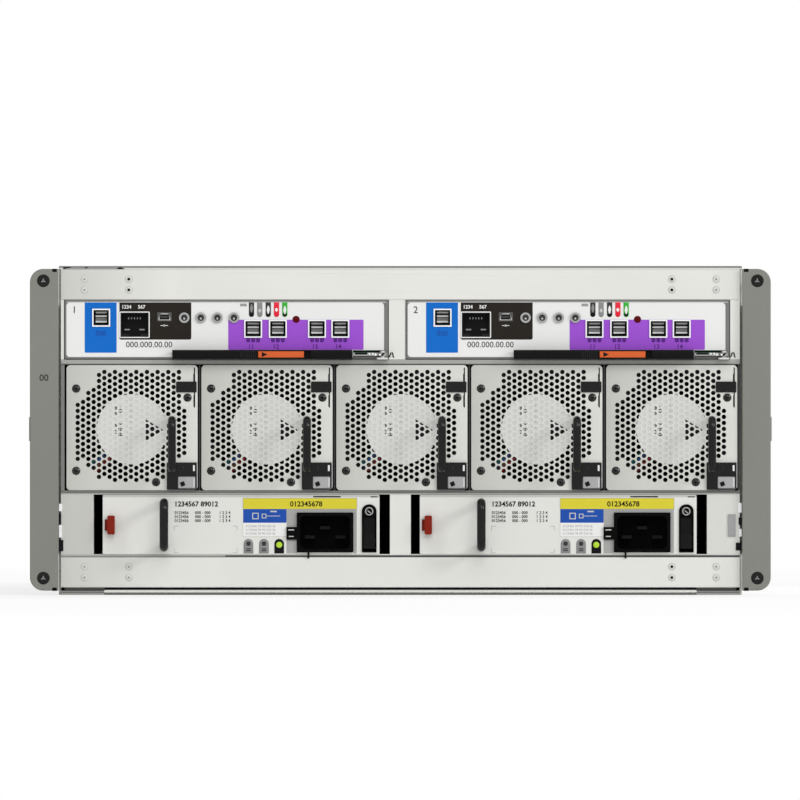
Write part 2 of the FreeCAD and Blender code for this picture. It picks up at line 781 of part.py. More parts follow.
def small_port_cage(x, z):
    # metal cage on the board, open at the front, with three contact bars inside
    width, height = small_port
    y0 = y_face - 0.6
    board_top = io_bottom + io_board_z + io_board_thickness
    cage = block(x - width / 2, x + width / 2, y0, y0 + small_port_depth, z - height / 2, z + height / 2)
    mouth = rounded_block(x - width / 2 + small_port_wall, x + width / 2 - small_port_wall, y0 - 1,
                          y0 + small_port_depth - 2, z - height / 2 + small_port_wall,
                          z + height / 2 - small_port_wall, 0.6)
    foot = block(x - width / 2, x + width / 2, y_face + 6, y0 + small_port_depth, board_top, z - height / 2)
    bars = []
    for step in (-1, 0, 1):
        bar_z = z + step * 2.6
        bars.append(block(x - width / 2 + 1.8, x + width / 2 - 1.8, y_face + 4.5, y0 + small_port_depth - 1,
                          bar_z - 0.6, bar_z + 0.6))
    return join([cage.cut(mouth), foot] + bars)


def network_socket(left):
    x0, x1, z0, z1 = network_port
    y0 = y_face - 0.4
    board_top = io_bottom + io_board_z + io_board_thickness
    body = block(left + x0, left + x1, y0, y0 + network_port_depth + 4, io_bottom + z0, io_bottom + z1)
    foot = block(left + x0, left + x1, y_face + 6, y0 + network_port_depth + 4, board_top, io_bottom + z0)
    mouth = block(left + x0 + network_port_wall, left + x1 - network_port_wall, y0 - 1,
                  y0 + network_port_depth, io_bottom + z0 + network_port_wall + 1.5,
                  io_bottom + z1 - network_port_wall)
    latch_gap = block(left + x0 + 6, left + x1 - 6, y0 - 1, y0 + network_port_depth,
                      io_bottom + z0 + network_port_wall, io_bottom + z0 + network_port_wall + 2)
    return join([body, foot]).cut(mouth).cut(latch_gap)


def service_socket(left):
    # small five-sided port: straight top, slanted lower sides
    x0, x1, z0, z1 = service_port
    board_top = io_bottom + io_board_z + io_board_thickness
    y0 = y_face - 0.3
    body = block(left + x0, left + x1, y0, y0 + 9, io_bottom + z0, io_bottom + z1)
    foot = block(left + x0, left + x1, y_face + 4, y0 + 9, board_top, io_bottom + z0)
    rim = 0.7
    slant = 1.6
    outline = [
        Vector(left + x0 + rim + slant, y0 - 1, io_bottom + z1 - rim),
        Vector(left + x1 - rim - slant, y0 - 1, io_bottom + z1 - rim),
        Vector(left + x1 - rim, y0 - 1, io_bottom + z0 + rim + 1),
        Vector(left + x1 - rim, y0 - 1, io_bottom + z0 + rim),
        Vector(left + x0 + rim, y0 - 1, io_bottom + z0 + rim),
        Vector(left + x0 + rim, y0 - 1, io_bottom + z0 + rim + 1),
    ]
    mouth = Part.Face(Part.makePolygon(outline + [outline[0]])).extrude(Vector(0, 8, 0))
    tongue = block(left + x0 + 2.4, left + x1 - 2.4, y0 + 2, y0 + 8,
                   io_bottom + z0 + 2.4, io_bottom + z0 + 3.4)
    return join([join([body, foot]).cut(mouth), tongue])


def heat_sink(left):
    # finned block on the board behind the ports
    board_top = io_bottom + io_board_z + io_board_thickness
    x0, y0 = left + 90, y_face + 90
    base = block(x0, x0 + 60, y0, y0 + 70, board_top, board_top + 5)
    fins = []
    for index in range(11):
        x = x0 + 1 + index * 5.6
        fins.append(block(x, x + 1.4, y0, y0 + 70, board_top + 4, board_top + 24))
    return join([base] + fins)


def io_board(left):
    z0 = io_bottom + io_board_z
    board = block(left + 3, left + io_width - 3, y_face + 4, y_face + io_depth - thin_sheet,
                  z0, z0 + io_board_thickness)
    pieces = [board]
    for x in (left + 12, left + io_width - 12):
        for y in (y_face + 40, y_face + io_depth - 30):
            pieces.append(rod(x, y, io_bottom + thin_sheet, 2.5, io_board_z - thin_sheet, "z"))
    for x, z in port_places():
        pieces.append(small_port_cage(left + x, io_bottom + z))
    pieces.append(network_socket(left))
    pieces.append(service_socket(left))
    pieces.append(heat_sink(left))
    for index in range(jack_count):
        x = left + jack_first_x + index * jack_pitch
        z = io_bottom + jack_z
        jack = rod(x, y_face - jack_proud, z, jack_radius, 10)
        foot = block(x - 2.5, x + 2.5, y_face + 4, y_face + 9, io_bottom + io_board_z + 1, z)
        pieces.append(jack.fuse(foot).cut(rod(x, y_face - 2, z, jack_bore, 8)))
    x_plug = left + io_width / 2
    pieces.append(block(x_plug - io_plug_half + 1, x_plug + io_plug_half - 1, y_face + io_depth - 12,
                        y_face + io_depth + 1.5, z0 + io_board_thickness, io_bottom + 22.5))
    return join(pieces)


def io_lever(left):
    # steel arm with an eye round the pivot, and the black grip with a groove for the catch
    x0, x1, z0, z1 = lever_grip
    pivot_x, pivot_y = left + lever_pivot_x, y_face - lever_pivot_y
    y1 = y_face - lever_grip_back
    y0 = y1 - lever_grip_depth
    grip = rounded_block(left + x0, left + x1, y0, y1, io_bottom + z0, io_bottom + z1, 1.2, "x")
    cx0, cx1, cz0, cz1 = catch_box
    groove = block(left + cx0 - slide_gap, left + cx1 + catch_travel + slide_gap, y0 - 1, y0 + catch_depth,
                   io_bottom + cz0 - slide_gap, io_bottom + cz1 + slide_gap)
    grip = grip.cut(groove)
    az0, az1 = lever_arm_z
    arm = block(left + x1 - 3, pivot_x, pivot_y - lever_arm_thickness / 2, pivot_y + lever_arm_thickness / 2,
                io_bottom + az0, io_bottom + az1)
    eye = rod(pivot_x, pivot_y, io_bottom + az0, lever_eye_radius, az1 - az0, "z")
    bore = rod(pivot_x, pivot_y, io_bottom + az0 - 1, lever_pin_radius + slide_gap, az1 - az0 + 2, "z")
    return join([grip, arm, eye]).cut(bore)


def io_catch(left):
    x0, x1, z0, z1 = catch_box
    y0 = y_face - lever_grip_back - lever_grip_depth
    catch = block(left + x0, left + x1, y0 - catch_proud, y0 + catch_depth, io_bottom + z0, io_bottom + z1)
    front = [e for e in catch.Edges if e.BoundBox.YMax < y0 - catch_proud + 0.01]
    return catch.makeChamfer(0.4, front)


# Power supply: case with face plate, inlet with switch frame, bow handle, red latch and rocker
supply_bottom = supply_floor
supply_top = supply_bottom + supply_height
supply_face_thickness = 3.0
inlet_box = (126.4, 163.3, 1.2, 27.2)
inlet_proud = 1.5
inlet_depth = 24.0
inlet_rim = 2.2
inlet_recess = 18.0
inlet_pin = (2.0, 6.4, 12.0)
inlet_pin_pitch = 10.0
clip_box = (119.7, 126.4, 9.5, 17.7)
clip_proud = 1.4
switch_frame = (168.8, 178.4, 1.2, 32.5)
switch_frame_proud = 0.8
switch_frame_depth = 14.0
rocker_box = (169.8, 177.4, 3.0, 23.6)
rocker_depth = 6.0
rocker_tilt = 7.0
rocker_gap = 0.5
rocker_swing = 0.9
rocker_axle_depth = 3.0
rocker_axle_y = y_face + 3.4
supply_bow_x = 40.0
supply_bow_z = (4.6, 33.6)
supply_bow_radius = 2.85
supply_bow_bend = 5.0
latch_block = (3.1, 7.9, 12.9, 25.2)
latch_proud = 6.5
latch_stem = (1.6, 4.0, 15.6, 22.4)
latch_stem_depth = 8.0
latch_travel = 3.0
supply_plug_half = 31.0


def supply_face_left(side):
    # left edge of the face plate of the left (-1) or right (1) supply
    left = -supply_outer_edge if side < 0 else supply_post_half
    return left + supply_face_inset


def supply_case(face_left):
    x0, x1 = face_left, face_left + supply_face_width
    y0, y1 = y_face + supply_face_thickness, y_face + supply_depth
    outer = block(x0, x1, y0, y1, supply_bottom, supply_top)
    inner = block(x0 + sheet, x1 - sheet, y0 + sheet, y1 - sheet, supply_bottom + sheet, supply_top - sheet)
    x_plug = (x0 + x1) / 2
    plug_gap = block(x_plug - supply_plug_half, x_plug + supply_plug_half, y1 - 3, y1 + 1,
                     supply_bottom + 9.0, supply_bottom + 26.0)
    plate = rounded_block(x0, x1, y_face, y0, supply_bottom, supply_top, 1.0)
    case = join([outer.cut(inner).cut(plug_gap), plate])
    openings = []
    through = supply_face_thickness + sheet + 1
    x_low, x_high, z_low, z_high = inlet_box
    openings.append(block(face_left + x_low, face_left + x_high, y_face - 1, y_face + through,
                          supply_bottom + z_low, supply_bottom + z_high))
    openings.append(switch_outline(face_left, y_face - 1, y_face + through))
    stem_x0, stem_x1, stem_z0, stem_z1 = latch_stem
    openings.append(block(face_left + stem_x0 - slide_gap, face_left + stem_x1 + latch_travel + slide_gap,
                          y_face - 1, y_face + through, supply_bottom + stem_z0 - slide_gap,
                          supply_bottom + stem_z1 + slide_gap))
    plug = block(x_plug - supply_plug_half + 1, x_plug + supply_plug_half - 1, y1 - 20, y1 + 1.5,
                 supply_bottom + sheet, supply_bottom + 25.0)
    return join([case.cut(group(openings)), plug])


def supply_inlet(face_left):
    # recessed inlet with three flat pins, its cord clip, and the frame round the rocker
    x0, x1, z0, z1 = inlet_box
    y0 = y_face - inlet_proud
    body = rounded_block(face_left + x0, face_left + x1, y0, y0 + inlet_depth,
                         supply_bottom + z0, supply_bottom + z1, 1.2)
    recess = rounded_block(face_left + x0 + inlet_rim, face_left + x1 - inlet_rim, y0 - 1, y0 + inlet_recess,
                           supply_bottom + z0 + inlet_rim, supply_bottom + z1 - inlet_rim, 3.5)
    body = body.cut(recess)
    pin_thick, pin_wide, pin_long = inlet_pin
    x_mid = face_left + (x0 + x1) / 2
    z_mid = supply_bottom + (z0 + z1) / 2
    pins = []
    for index in (-1, 0, 1):
        x = x_mid + index * inlet_pin_pitch
        z = z_mid - 3 if index else z_mid + 3
        pins.append(block(x - pin_wide / 2, x + pin_wide / 2, y0 + inlet_recess - pin_long,
                          y0 + inlet_recess + 1, z - pin_thick / 2, z + pin_thick / 2))
    cx0, cx1, cz0, cz1 = clip_box
    clip = block(face_left + cx0, face_left + cx1, y_face - clip_proud, y_face,
                 supply_bottom + cz0, supply_bottom + cz1)
    return group([join([body] + pins), clip, rocker_frame(face_left)])


def switch_outline(face_left, y0, y1):
    # upright bar with a round top
    x0, x1, z0, z1 = switch_frame
    bar = block(face_left + x0, face_left + x1, y0, y1, supply_bottom + z0, supply_bottom + z1)
    top = [e for e in edges_along(bar, "y") if e.BoundBox.ZMin > supply_bottom + z1 - 0.1]
    return bar.makeFillet((x1 - x0) / 2 - 0.2, top)


def rocker_frame(face_left):
    y0 = y_face - switch_frame_proud
    frame = switch_outline(face_left, y0, y0 + switch_frame_depth)
    rx0, rx1, rz0, rz1 = rocker_box
    pocket = block(face_left + rx0 - rocker_gap, face_left + rx1 + rocker_gap, y0 - 1,
                   y0 + switch_frame_depth - 1.5, supply_bottom + rz0 - rocker_swing,
                   supply_bottom + rz1 + rocker_swing)
    return frame.cut(pocket)


def supply_switch(face_left):
    # rocker with a shallow V face; it rests with its upper half pressed in
    x0, x1, z0, z1 = rocker_box
    half = (z1 - z0) / 2
    rise = half * math.tan(math.radians(rocker_tilt))
    outline = [
        Vector(0, -rise, -half),
        Vector(0, 0, 0),
        Vector(0, -rise, half),
        Vector(0, rocker_depth - rise, half - 1.2),
        Vector(0, rocker_depth, 3.0),
        Vector(0, rocker_depth, -3.0),
        Vector(0, rocker_depth - rise, 1.2 - half),
    ]
    rocker = Part.Face(Part.makePolygon(outline + [outline[0]])).extrude(Vector(x1 - x0, 0, 0))
    rocker.rotate(Vector(0, rocker_axle_depth, 0), Vector(1, 0, 0), -rocker_tilt)
    rocker = moved(rocker, face_left + x0, rocker_axle_y - rocker_axle_depth, supply_bottom + (z0 + z1) / 2)
    axle = rod(face_left + x0 - rocker_gap, rocker_axle_y, supply_bottom + (z0 + z1) / 2, 1.0,
               x1 - x0 + 2 * rocker_gap, "x")
    return join([rocker, axle])


def supply_handle(face_left):
    return bow_handle(face_left + supply_bow_x, y_face, handle_reach, supply_bottom + supply_bow_z[0],
                      supply_bottom + supply_bow_z[1], supply_bow_radius, supply_bow_bend)


def supply_latch(face_left):
    x0, x1, z0, z1 = latch_block
    thumb = rounded_block(face_left + x0, face_left + x1, y_face - latch_proud, y_face,
                          supply_bottom + z0, supply_bottom + z1, 0.9)
    x0, x1, z0, z1 = latch_stem
    stem = block(face_left + x0, face_left + x1, y_face - 2.5, y_face + latch_stem_depth,
                 supply_bottom + z0, supply_bottom + z1)
    return join([thumb, stem])


# Drawers: tray with cross boards and slide members, fascia with vents and pulls, and the drives
tray_y0 = y_face + 375.0
tray_y1 = y_rear + 0.5
tray_sheet = 1.0
tray_board_height = 60.0
member_inset = 0.3
fascia_half = 221.0
fascia_levels = ((1.5, 106.6), (107.2, 212.8))
vent_slot = (3.6, 30.0)
vent_pitch = 8.0
vent_columns = 32
pull_x = 196.0
pull_half = 32.0
pull_radius = 4.0
pull_bend = 7.0
pull_sink = 1.0


def drawer_tray(floor):
    half = drawer_width / 2
    z1 = floor + drawer_wall_height
    outer = block(-half, half, tray_y0, tray_y1, floor, z1)
    inner = block(-half + tray_sheet, half - tray_sheet, tray_y0 + tray_sheet, tray_y1 + 1,
                  floor + tray_sheet, z1 + 1)
    pieces = [outer.cut(inner)]
    for row in range(rows_of_drives):
        y = tray_y0 + 6 + row * row_pitch
        pieces.append(block(-half + tray_sheet / 2, half - tray_sheet / 2, y, y + board_thickness,
                            floor + tray_sheet / 2, floor + tray_board_height))
    z = rail_centre(floor)
    for side in (-1, 1):
        x0, x1 = sorted((side * (half - tray_sheet / 2), side * (wall_inner - 2 - member_inset)))
        pieces.append(block(x0, x1, tray_y0 + 5, y_rear - 10,
                            z - rail_member_height / 2, z + rail_member_height / 2))
    for side in (-1, 1):
        x0, x1 = sorted((side * half, side * (half - 12)))
        pieces.append(block(x0, x1, tray_y1 - 1.2, tray_y1, floor, z1))
    return join(pieces)


def drawer_drives(floor):
    # every drive stands on the tray with its plug end against its row's cross board
    width, length, height = drive_size
    drives = []
    for row in range(rows_of_drives):
        y0 = tray_y0 + 6 + row * row_pitch + board_thickness
        for column in range(drives_in_row):
            x0 = (column - (drives_in_row - 1) / 2) * drive_pitch - width / 2
            z0 = floor + tray_sheet
            drive = block(x0, x0 + width, y0, y0 + length, z0, z0 + height)
            top = [e for e in edges_along(drive, "y") if e.BoundBox.ZMin > z0 + height - 0.1]
            drive = drive.makeChamfer(1.5, top)
            grip = block(x0 + 6, x0 + width - 6, y0 + length - 40, y0 + length - 10,
                         z0 + height - 3, z0 + height + 1)
            drives.append(drive.cut(grip))
    return group(drives)


def drawer_fascia(level):
    z0, z1 = level
    y0 = tray_y1
    y1 = y0 + fascia_thickness
    panel = rounded_block(-fascia_half, fascia_half, y0, y1, z0, z1, 4.0)
    hollow = block(-fascia_half + 4, fascia_half - 4, y0 - 1, y1 - 2.5, z0 + 4, z1 - 4)
    keep = [block(side * 209 - 3, side * 209 + 3, y0, y1, z0 + 1, z1 - 1) for side in (-1, 1)]
    panel = join([panel.cut(hollow)] + keep)
    slots = []
    slot_width, slot_height = vent_slot
    for column in range(vent_columns):
        x = (column - (vent_columns - 1) / 2) * vent_pitch
        for z in (z0 + 22, z0 + 56):
            slots.append(rounded_block(x - slot_width / 2, x + slot_width / 2, y0 - 1, y1 + 1,
                                       z, z + slot_height, slot_width / 2 - 0.05))
    panel = panel.cut(group(slots))
    pulls = []
    middle = (z0 + z1) / 2
    for side in (-1, 1):
        bow = bow_handle(side * pull_x, 0, y_rear + fascia_reach - y1 + pull_sink,
                         middle - pull_half, middle + pull_half, pull_radius, pull_bend)
        bow = bow.mirror(Vector(0, 0, 0), Vector(0, 1, 0))
        pulls.append(moved(bow, 0, y1 - pull_sink, 0))
    return join([panel] + pulls)


def save_chassis():
    save("chassis_pan", chassis_pan())
    save("top_cover", top_cover())
    save("beam_upper", beam_upper())
    save("beam_lower", beam_lower())
    save("bay_frame", bay_frame())
    save("fan_board", fan_board())
    save("midplane", midplane())
    save("drawer_rails", drawer_rails())
    save("ear_left", rack_ear(-1))
    save("ear_right", rack_ear(1))
    save("rack_screws", rack_screws())


def save_fans():
    rotor = fan_rotor()
    for index in range(fan_count):
        left = fan_left + index * fan_pitch
        name = "fan_" + str(index + 1)
        save(name + "_shell", fan_shell(left))
        save(name + "_grille", fan_grille(left))
        save(name + "_rotor", moved(rotor, left + fan_width / 2, y_face + rotor_middle, fan_axis_z))
        save(name + "_handle", fan_handle(left))
        save(name + "_latch", fan_latch(left))


def save_io_modules():
    for letter, left in zip("ab", io_left_edges):
        name = "io_" + letter
        save(name + "_case", io_case(left))
        save(name + "_board", io_board(left))
        save(name + "_lever", io_lever(left))
        save(name + "_catch", io_catch(left))


def save_supplies():
    for letter, side in (("a", -1), ("b", 1)):
        name = "psu_" + letter
        left = supply_face_left(side)
        save(name + "_case", supply_case(left))
        save(name + "_inlet", supply_inlet(left))
        save(name + "_handle", supply_handle(left))
        save(name + "_latch", supply_latch(left))
        save(name + "_switch", supply_switch(left))


def save_drawers():
    for name, floor, level in zip(("drawer_lower", "drawer_upper"), drawer_floors, fascia_levels):
        save(name + "_tray", drawer_tray(floor))
        save(name + "_drives", drawer_drives(floor))
        save(name + "_fascia", drawer_fascia(level))


os.makedirs("parts", exist_ok=True)
save_chassis()
save_fans()
save_io_modules()
save_supplies()
save_drawers()
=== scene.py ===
import bpy
import math
import numpy as np
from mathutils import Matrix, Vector


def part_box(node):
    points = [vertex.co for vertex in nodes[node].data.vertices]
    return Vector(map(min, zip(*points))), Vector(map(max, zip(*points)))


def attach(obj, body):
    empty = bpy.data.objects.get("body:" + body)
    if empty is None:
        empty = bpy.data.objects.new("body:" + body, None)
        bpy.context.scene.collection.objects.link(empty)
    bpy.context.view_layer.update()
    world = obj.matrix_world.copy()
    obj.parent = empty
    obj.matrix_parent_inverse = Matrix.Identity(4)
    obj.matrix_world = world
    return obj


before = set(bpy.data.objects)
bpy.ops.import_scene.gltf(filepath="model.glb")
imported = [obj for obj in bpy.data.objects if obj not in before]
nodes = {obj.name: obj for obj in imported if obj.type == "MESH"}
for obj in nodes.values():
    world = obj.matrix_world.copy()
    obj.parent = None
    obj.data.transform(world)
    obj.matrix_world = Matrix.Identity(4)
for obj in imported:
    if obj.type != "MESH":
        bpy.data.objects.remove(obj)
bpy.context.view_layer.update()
print("frame loaded:", len(nodes), "nodes")

mm = 0.001
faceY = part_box("beam_upper")[0].y  # plane of the photographed face
boxOf = {name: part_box(name) for name in nodes}
faceMm = faceY / mm
far = 2000.0  # millimetres, past every edge of the object


def cornersOf(name):
    # low and high corner of a node's box, in millimetres
    return [np.array([corner.x, corner.y, corner.z]) / mm for corner in boxOf[name]]


def moduleCorner(name):
    # place (x, z) of a node's lower left corner, from which the module's details are measured
    low = cornersOf(name)[0]
    return low[0], low[2]


# Shapes, in millimetres: each new piece is a closed outline carried through a profile, worked out as whole
# arrays. A profile's steps are (inset, lift); "ahead" is how far in front of the face a piece starts.

def slab(start, end):
    # profile of a plain plate between two lifts
    return (0.0, start), (0.0, end)


plateProfile = (*slab(0.0, 0.08), (0.04, 0.12))
domeProfile = (*slab(-0.4, 0.1), (0.15, 0.4), (0.45, 0.55))


def roundedOutline(halfWide, halfHigh, radius, steps=6):
    # rounded rectangle: four quarter circles of the radius about corner centres, joined by straight runs
    angle = np.linspace(0.0, np.pi / 2, steps + 1)
    corner = np.stack([np.cos(angle), np.sin(angle)], axis=1) * radius
    turns = np.array([[1, 1], [-1, 1], [-1, -1], [1, -1]], float)
    centres = turns * np.array([halfWide - radius, halfHigh - radius])
    parts = []
    for index, centre in enumerate(centres):
        spin = index * np.pi / 2
        turn = np.array([[np.cos(spin), -np.sin(spin)], [np.sin(spin), np.cos(spin)]])
        parts.append(corner @ turn.T + centre)
    outline = np.concatenate(parts)
    run = np.linalg.norm(outline - np.roll(outline, 1, axis=0), axis=1)
    return outline[run > 0.03 * radius]  # points that fall together are kept once


def archOutline(halfWide, halfHigh, upward, steps=12):
    # two square corners joined by a half circle at the other end: below them, or above them where upward
    angle = np.linspace(np.pi, 2 * np.pi, steps + 1)
    bowl = np.stack([np.cos(angle), np.sin(angle)], axis=1) * halfWide - np.array([0.0, halfHigh - halfWide])
    outline = np.concatenate([bowl, [[halfWide, halfHigh], [-halfWide, halfHigh]]])
    return -outline if upward else outline


def insetOutline(outline, inset):
    # moves each point in along the mean normal of its two edges
    tangent = np.roll(outline, -1, axis=0) - np.roll(outline, 1, axis=0)
    length = np.linalg.norm(tangent, axis=1, keepdims=True)
    return outline - np.stack([tangent[:, 1], -tangent[:, 0]], axis=1) / length * inset


def bandFaces(count, low, high):
    # quads between two rings of the count, whose points start at the numbers low and high
    first = np.arange(count)
    second = np.roll(first, -1)
    return np.stack([first + low, second + low, second + high, first + high], axis=1).tolist()


def capFaces(count, start, pole, back=False):
    # triangles between a ring and its pole, turned the other way at the back
    first = np.arange(count) + start
    second = np.roll(first, -1)
    pair = [second, first] if back else [first, second]
    return np.stack(pair + [np.full(count, pole)], axis=1).tolist()


def ringAt(outline, lift, ahead):
    # the outline's points stood up at the lift in front of their base plane
    return np.stack([outline[:, 0], np.full(len(outline), faceMm - ahead - lift), outline[:, 1]], axis=1)


def sweptSolid(outline, profile, x, z, ahead):
    # outline points inset and lifted by each profile step, with a pole at both ends; returns points and faces
    count = len(outline)
    centre = np.array([x, z])
    rings = [ringAt((insetOutline(outline, inset) if inset else outline) + centre, lift, ahead)
             for inset, lift in profile]
    points = np.concatenate(rings + [rings[0].mean(0, keepdims=True), rings[-1].mean(0, keepdims=True)])
    last = (len(profile) - 1) * count
    faces = capFaces(count, 0, len(points) - 2, back=True) + capFaces(count, last, len(points) - 1)
    for level in range(len(profile) - 1):
        faces += bandFaces(count, level * count, (level + 1) * count)
    return points, faces


def frameSolid(outer, inner, lift, ahead):
    # closed band between two outlines of as many points: both at two levels, the four rings joined all round
    count = len(outer)
    points = np.concatenate([ringAt(line, rise, ahead)
                             for line, rise in ((outer, 0.0), (outer, lift), (inner, lift), (inner, 0.0))])
    faces = []
    for level in range(4):
        faces += bandFaces(count, level * count, (level + 1) % 4 * count)
    return points, faces


def meshObject(name, points, faces):
    mesh = bpy.data.meshes.new(name)
    mesh.from_pydata((points * mm).tolist(), [], faces)
    mesh.validate()
    item = bpy.data.objects.new(name, mesh)
    bpy.context.scene.collection.objects.link(item)
    return item


def joinArrays(shapes):
    # several point and face sets as one, the face numbers moved on by the points before them
    points, faces, offset = [], [], 0
    for shapePoints, shapeFaces in shapes:
        points.append(shapePoints)
        faces += [[corner + offset for corner in face] for face in shapeFaces]
        offset += len(shapePoints)
    return np.concatenate(points), faces


def addPiece(name, body, kind, shapes, at=(0.0, 0.0), smooth=False):
    # joins the shapes, moves them to the module's corner, gives them their finish and puts them on their body
    points, faces = joinArrays(shapes)
    item = meshObject(name, points + np.array([at[0], 0.0, at[1]]), faces)
    item.data.materials.append(finishes[kind])
    if smooth:
        item.data.polygons.foreach_set("use_smooth", np.ones(len(item.data.polygons), bool))
    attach(item, body)


def platePiece(name, body, kind, spots, at=(0.0, 0.0), radius=0.1, profile=plateProfile, ahead=0.0,
               smooth=False, steps=6):
    # spots: (x, z, radius) for a round plate, (left, right, bottom, top) for one with corners of the radius;
    # a fifth value there is its own radius, or "arch" or "bowl" for a half circle as its top or bottom
    shapes = []
    for spot in spots:
        if len(spot) == 3:
            x, z, reach = spot
            outline = roundedOutline(reach, reach, reach * 0.999, steps)
        else:
            left, right, bottom, top, bend = (*spot, radius)[:5]
            x, z = (left + right) / 2, (bottom + top) / 2
            if bend in ("arch", "bowl"):
                outline = archOutline(right - x, top - z, bend == "arch")
            else:
                outline = roundedOutline(right - x, top - z, bend, steps)
        shapes.append(sweptSolid(outline, profile, x, z, ahead))
    addPiece(name, body, kind, shapes, at, smooth)


def platesFrom(table, body, at=(0.0, 0.0), prefix=None):
    # every piece of a table; its rows are name: (finish, spots, corner radius, profile, ahead)
    start = body + "_" if prefix is None else prefix
    for name, (kind, spots, radius, profile, ahead) in table.items():
        platePiece(start + name, body, kind, spots, at, radius, profile, ahead)


def polygonPiece(name, body, kind, outlines, at=(0.0, 0.0), lift=0.1, ahead=0.0):
    # thin flat shapes from corner points (x, z), given counter-clockwise as seen from the front
    shapes = []
    for outline in outlines:
        corners = np.array(outline, float)
        middle = corners.mean(0)
        shapes.append(sweptSolid(corners - middle, slab(0.0, lift), *middle, ahead))
    addPiece(name, body, kind, shapes, at)


def ringPiece(name, body, kind, rings, at=(0.0, 0.0), lift=0.12, ahead=0.0, around=32):
    # rings with a square section: (x, z, outer radius, inner radius)
    angle = np.linspace(0, 2 * np.pi, around, endpoint=False)
    circle = np.stack([np.cos(angle), np.sin(angle)], axis=1)
    shapes = [frameSolid(circle * outer + (x, z), circle * inner + (x, z), lift, ahead)
              for x, z, outer, inner in rings]
    addPiece(name, body, kind, shapes, at)


def marginPiece(name, body, kind, outer, inner, radius, at, lift=0.08):
    # border between a rectangle and a round-cornered one inside it: each inner point is paired with the outer
    # corner of its quarter
    middle = np.array([(inner[0] + inner[1]) / 2, (inner[2] + inner[3]) / 2])
    line = roundedOutline(inner[1] - middle[0], inner[3] - middle[1], radius) + middle
    corners = np.stack([np.where(line[:, 0] > middle[0], outer[1], outer[0]),
                        np.where(line[:, 1] > middle[1], outer[3], outer[2])], axis=1)
    addPiece(name, body, kind, [frameSolid(corners, line, lift, 0.0)], at)


def tubePiece(name, body, kind, path, radius, at, around=12):
    # circle of the radius carried along the path, in a frame turned with the path's direction, poles closed
    tangent = np.gradient(path, axis=0)
    tangent /= np.linalg.norm(tangent, axis=1, keepdims=True)
    side = np.cross(tangent, np.array([0.31, 0.42, 0.85]))
    side /= np.linalg.norm(side, axis=1, keepdims=True)
    up = np.cross(side, tangent)
    angle = np.linspace(0, 2 * np.pi, around, endpoint=False)[None, :, None]
    rings = path[:, None] + radius * (side[:, None] * np.cos(angle) + up[:, None] * np.sin(angle))
    points = np.concatenate([rings.reshape(-1, 3), path[:1], path[-1:]])
    last = (len(path) - 1) * around
    faces = capFaces(around, 0, len(points) - 2) + capFaces(around, last, len(points) - 1, back=True)
    for level in range(len(path) - 1):
        faces += bandFaces(around, (level + 1) * around, level * around)
    addPiece(name, body, kind, [(points, faces)], at, smooth=True)


def cutPlatePiece(name, body, kind, outer, holes, at, lift=0.12, ahead=0.0, radius=0.0,
                  corners=((0, 0), (1, 0), (1, 1), (0, 1))):
    # flat sheet with rectangular openings: the cells between all edge lines are kept where no opening covers
    # them; a corner cell of the radius is left out and a quarter disc stands in its place
    bends = (outer[0] + radius, outer[1] - radius), (outer[2] + radius, outer[3] - radius)
    xs = np.array(sorted({*outer[:2], *bends[0], *[edge for hole in holes for edge in hole[:2]]}))
    zs = np.array(sorted({*outer[2:], *bends[1], *[edge for hole in holes for edge in hole[2:]]}))
    midX, midZ = np.meshgrid((xs[:-1] + xs[1:]) / 2, (zs[:-1] + zs[1:]) / 2, indexing="ij")
    kept = np.ones(midX.shape, bool)
    for left, right, bottom, top in holes:
        kept &= ~((midX > left) & (midX < right) & (midZ > bottom) & (midZ < top))
    quarters = []
    for sideX, sideZ in (corners if radius else ()):
        inX, inZ = bends[0][sideX], bends[1][sideZ]
        outX = midX > inX if sideX else midX < inX
        outZ = midZ > inZ if sideZ else midZ < inZ
        kept &= ~(outX & outZ)
        quarters.append(quarterDisc(inX, inZ, radius, sideX, sideZ, lift, ahead))
    grid = np.stack(np.meshgrid(xs, zs, indexing="ij"), axis=2).reshape(-1, 2)
    rows, half = len(zs), len(grid)
    i, j = np.nonzero(kept)
    corner = i * rows + j
    front = np.stack([corner, corner + rows, corner + rows + 1, corner + 1], axis=1) + half
    faces = front.tolist() + (front - half)[:, ::-1].tolist()
    padded = np.pad(kept, 1)
    for (di, dj), ends in zip(((-1, 0), (1, 0), (0, -1), (0, 1)),
                              ((1, 0), (rows, rows + 1), (0, rows), (rows + 1, 1))):
        edge = kept & ~padded[1 + di:padded.shape[0] - 1 + di, 1 + dj:padded.shape[1] - 1 + dj]
        i, j = np.nonzero(edge)
        a, b = i * rows + j + ends[0], i * rows + j + ends[1]
        faces += np.stack([a, b, b + half, a + half], axis=1).tolist()
    sheet = np.concatenate([ringAt(grid, 0.0, ahead), ringAt(grid, lift, ahead)]), faces
    addPiece(name, body, kind, [sheet] + quarters, at)


def quarterDisc(x, z, radius, sideX, sideZ, lift, ahead):
    # quarter circle about its inner corner, at two levels, closed all round
    start = {(1, 1): 0.0, (0, 1): 0.5, (0, 0): 1.0, (1, 0): 1.5}[(sideX, sideZ)] * np.pi
    angle = start + np.linspace(0.0, np.pi / 2, 7)
    rim = np.stack([x + radius * np.cos(angle), z + radius * np.sin(angle)], axis=1)
    flat = np.concatenate([[[x, z]], rim])
    count = len(flat)
    ring = np.arange(count)
    faces = [ring[::-1].tolist(), (ring + count).tolist()] + bandFaces(count, 0, count)
    return np.concatenate([ringAt(flat, 0.0, ahead), ringAt(flat, lift, ahead)]), faces


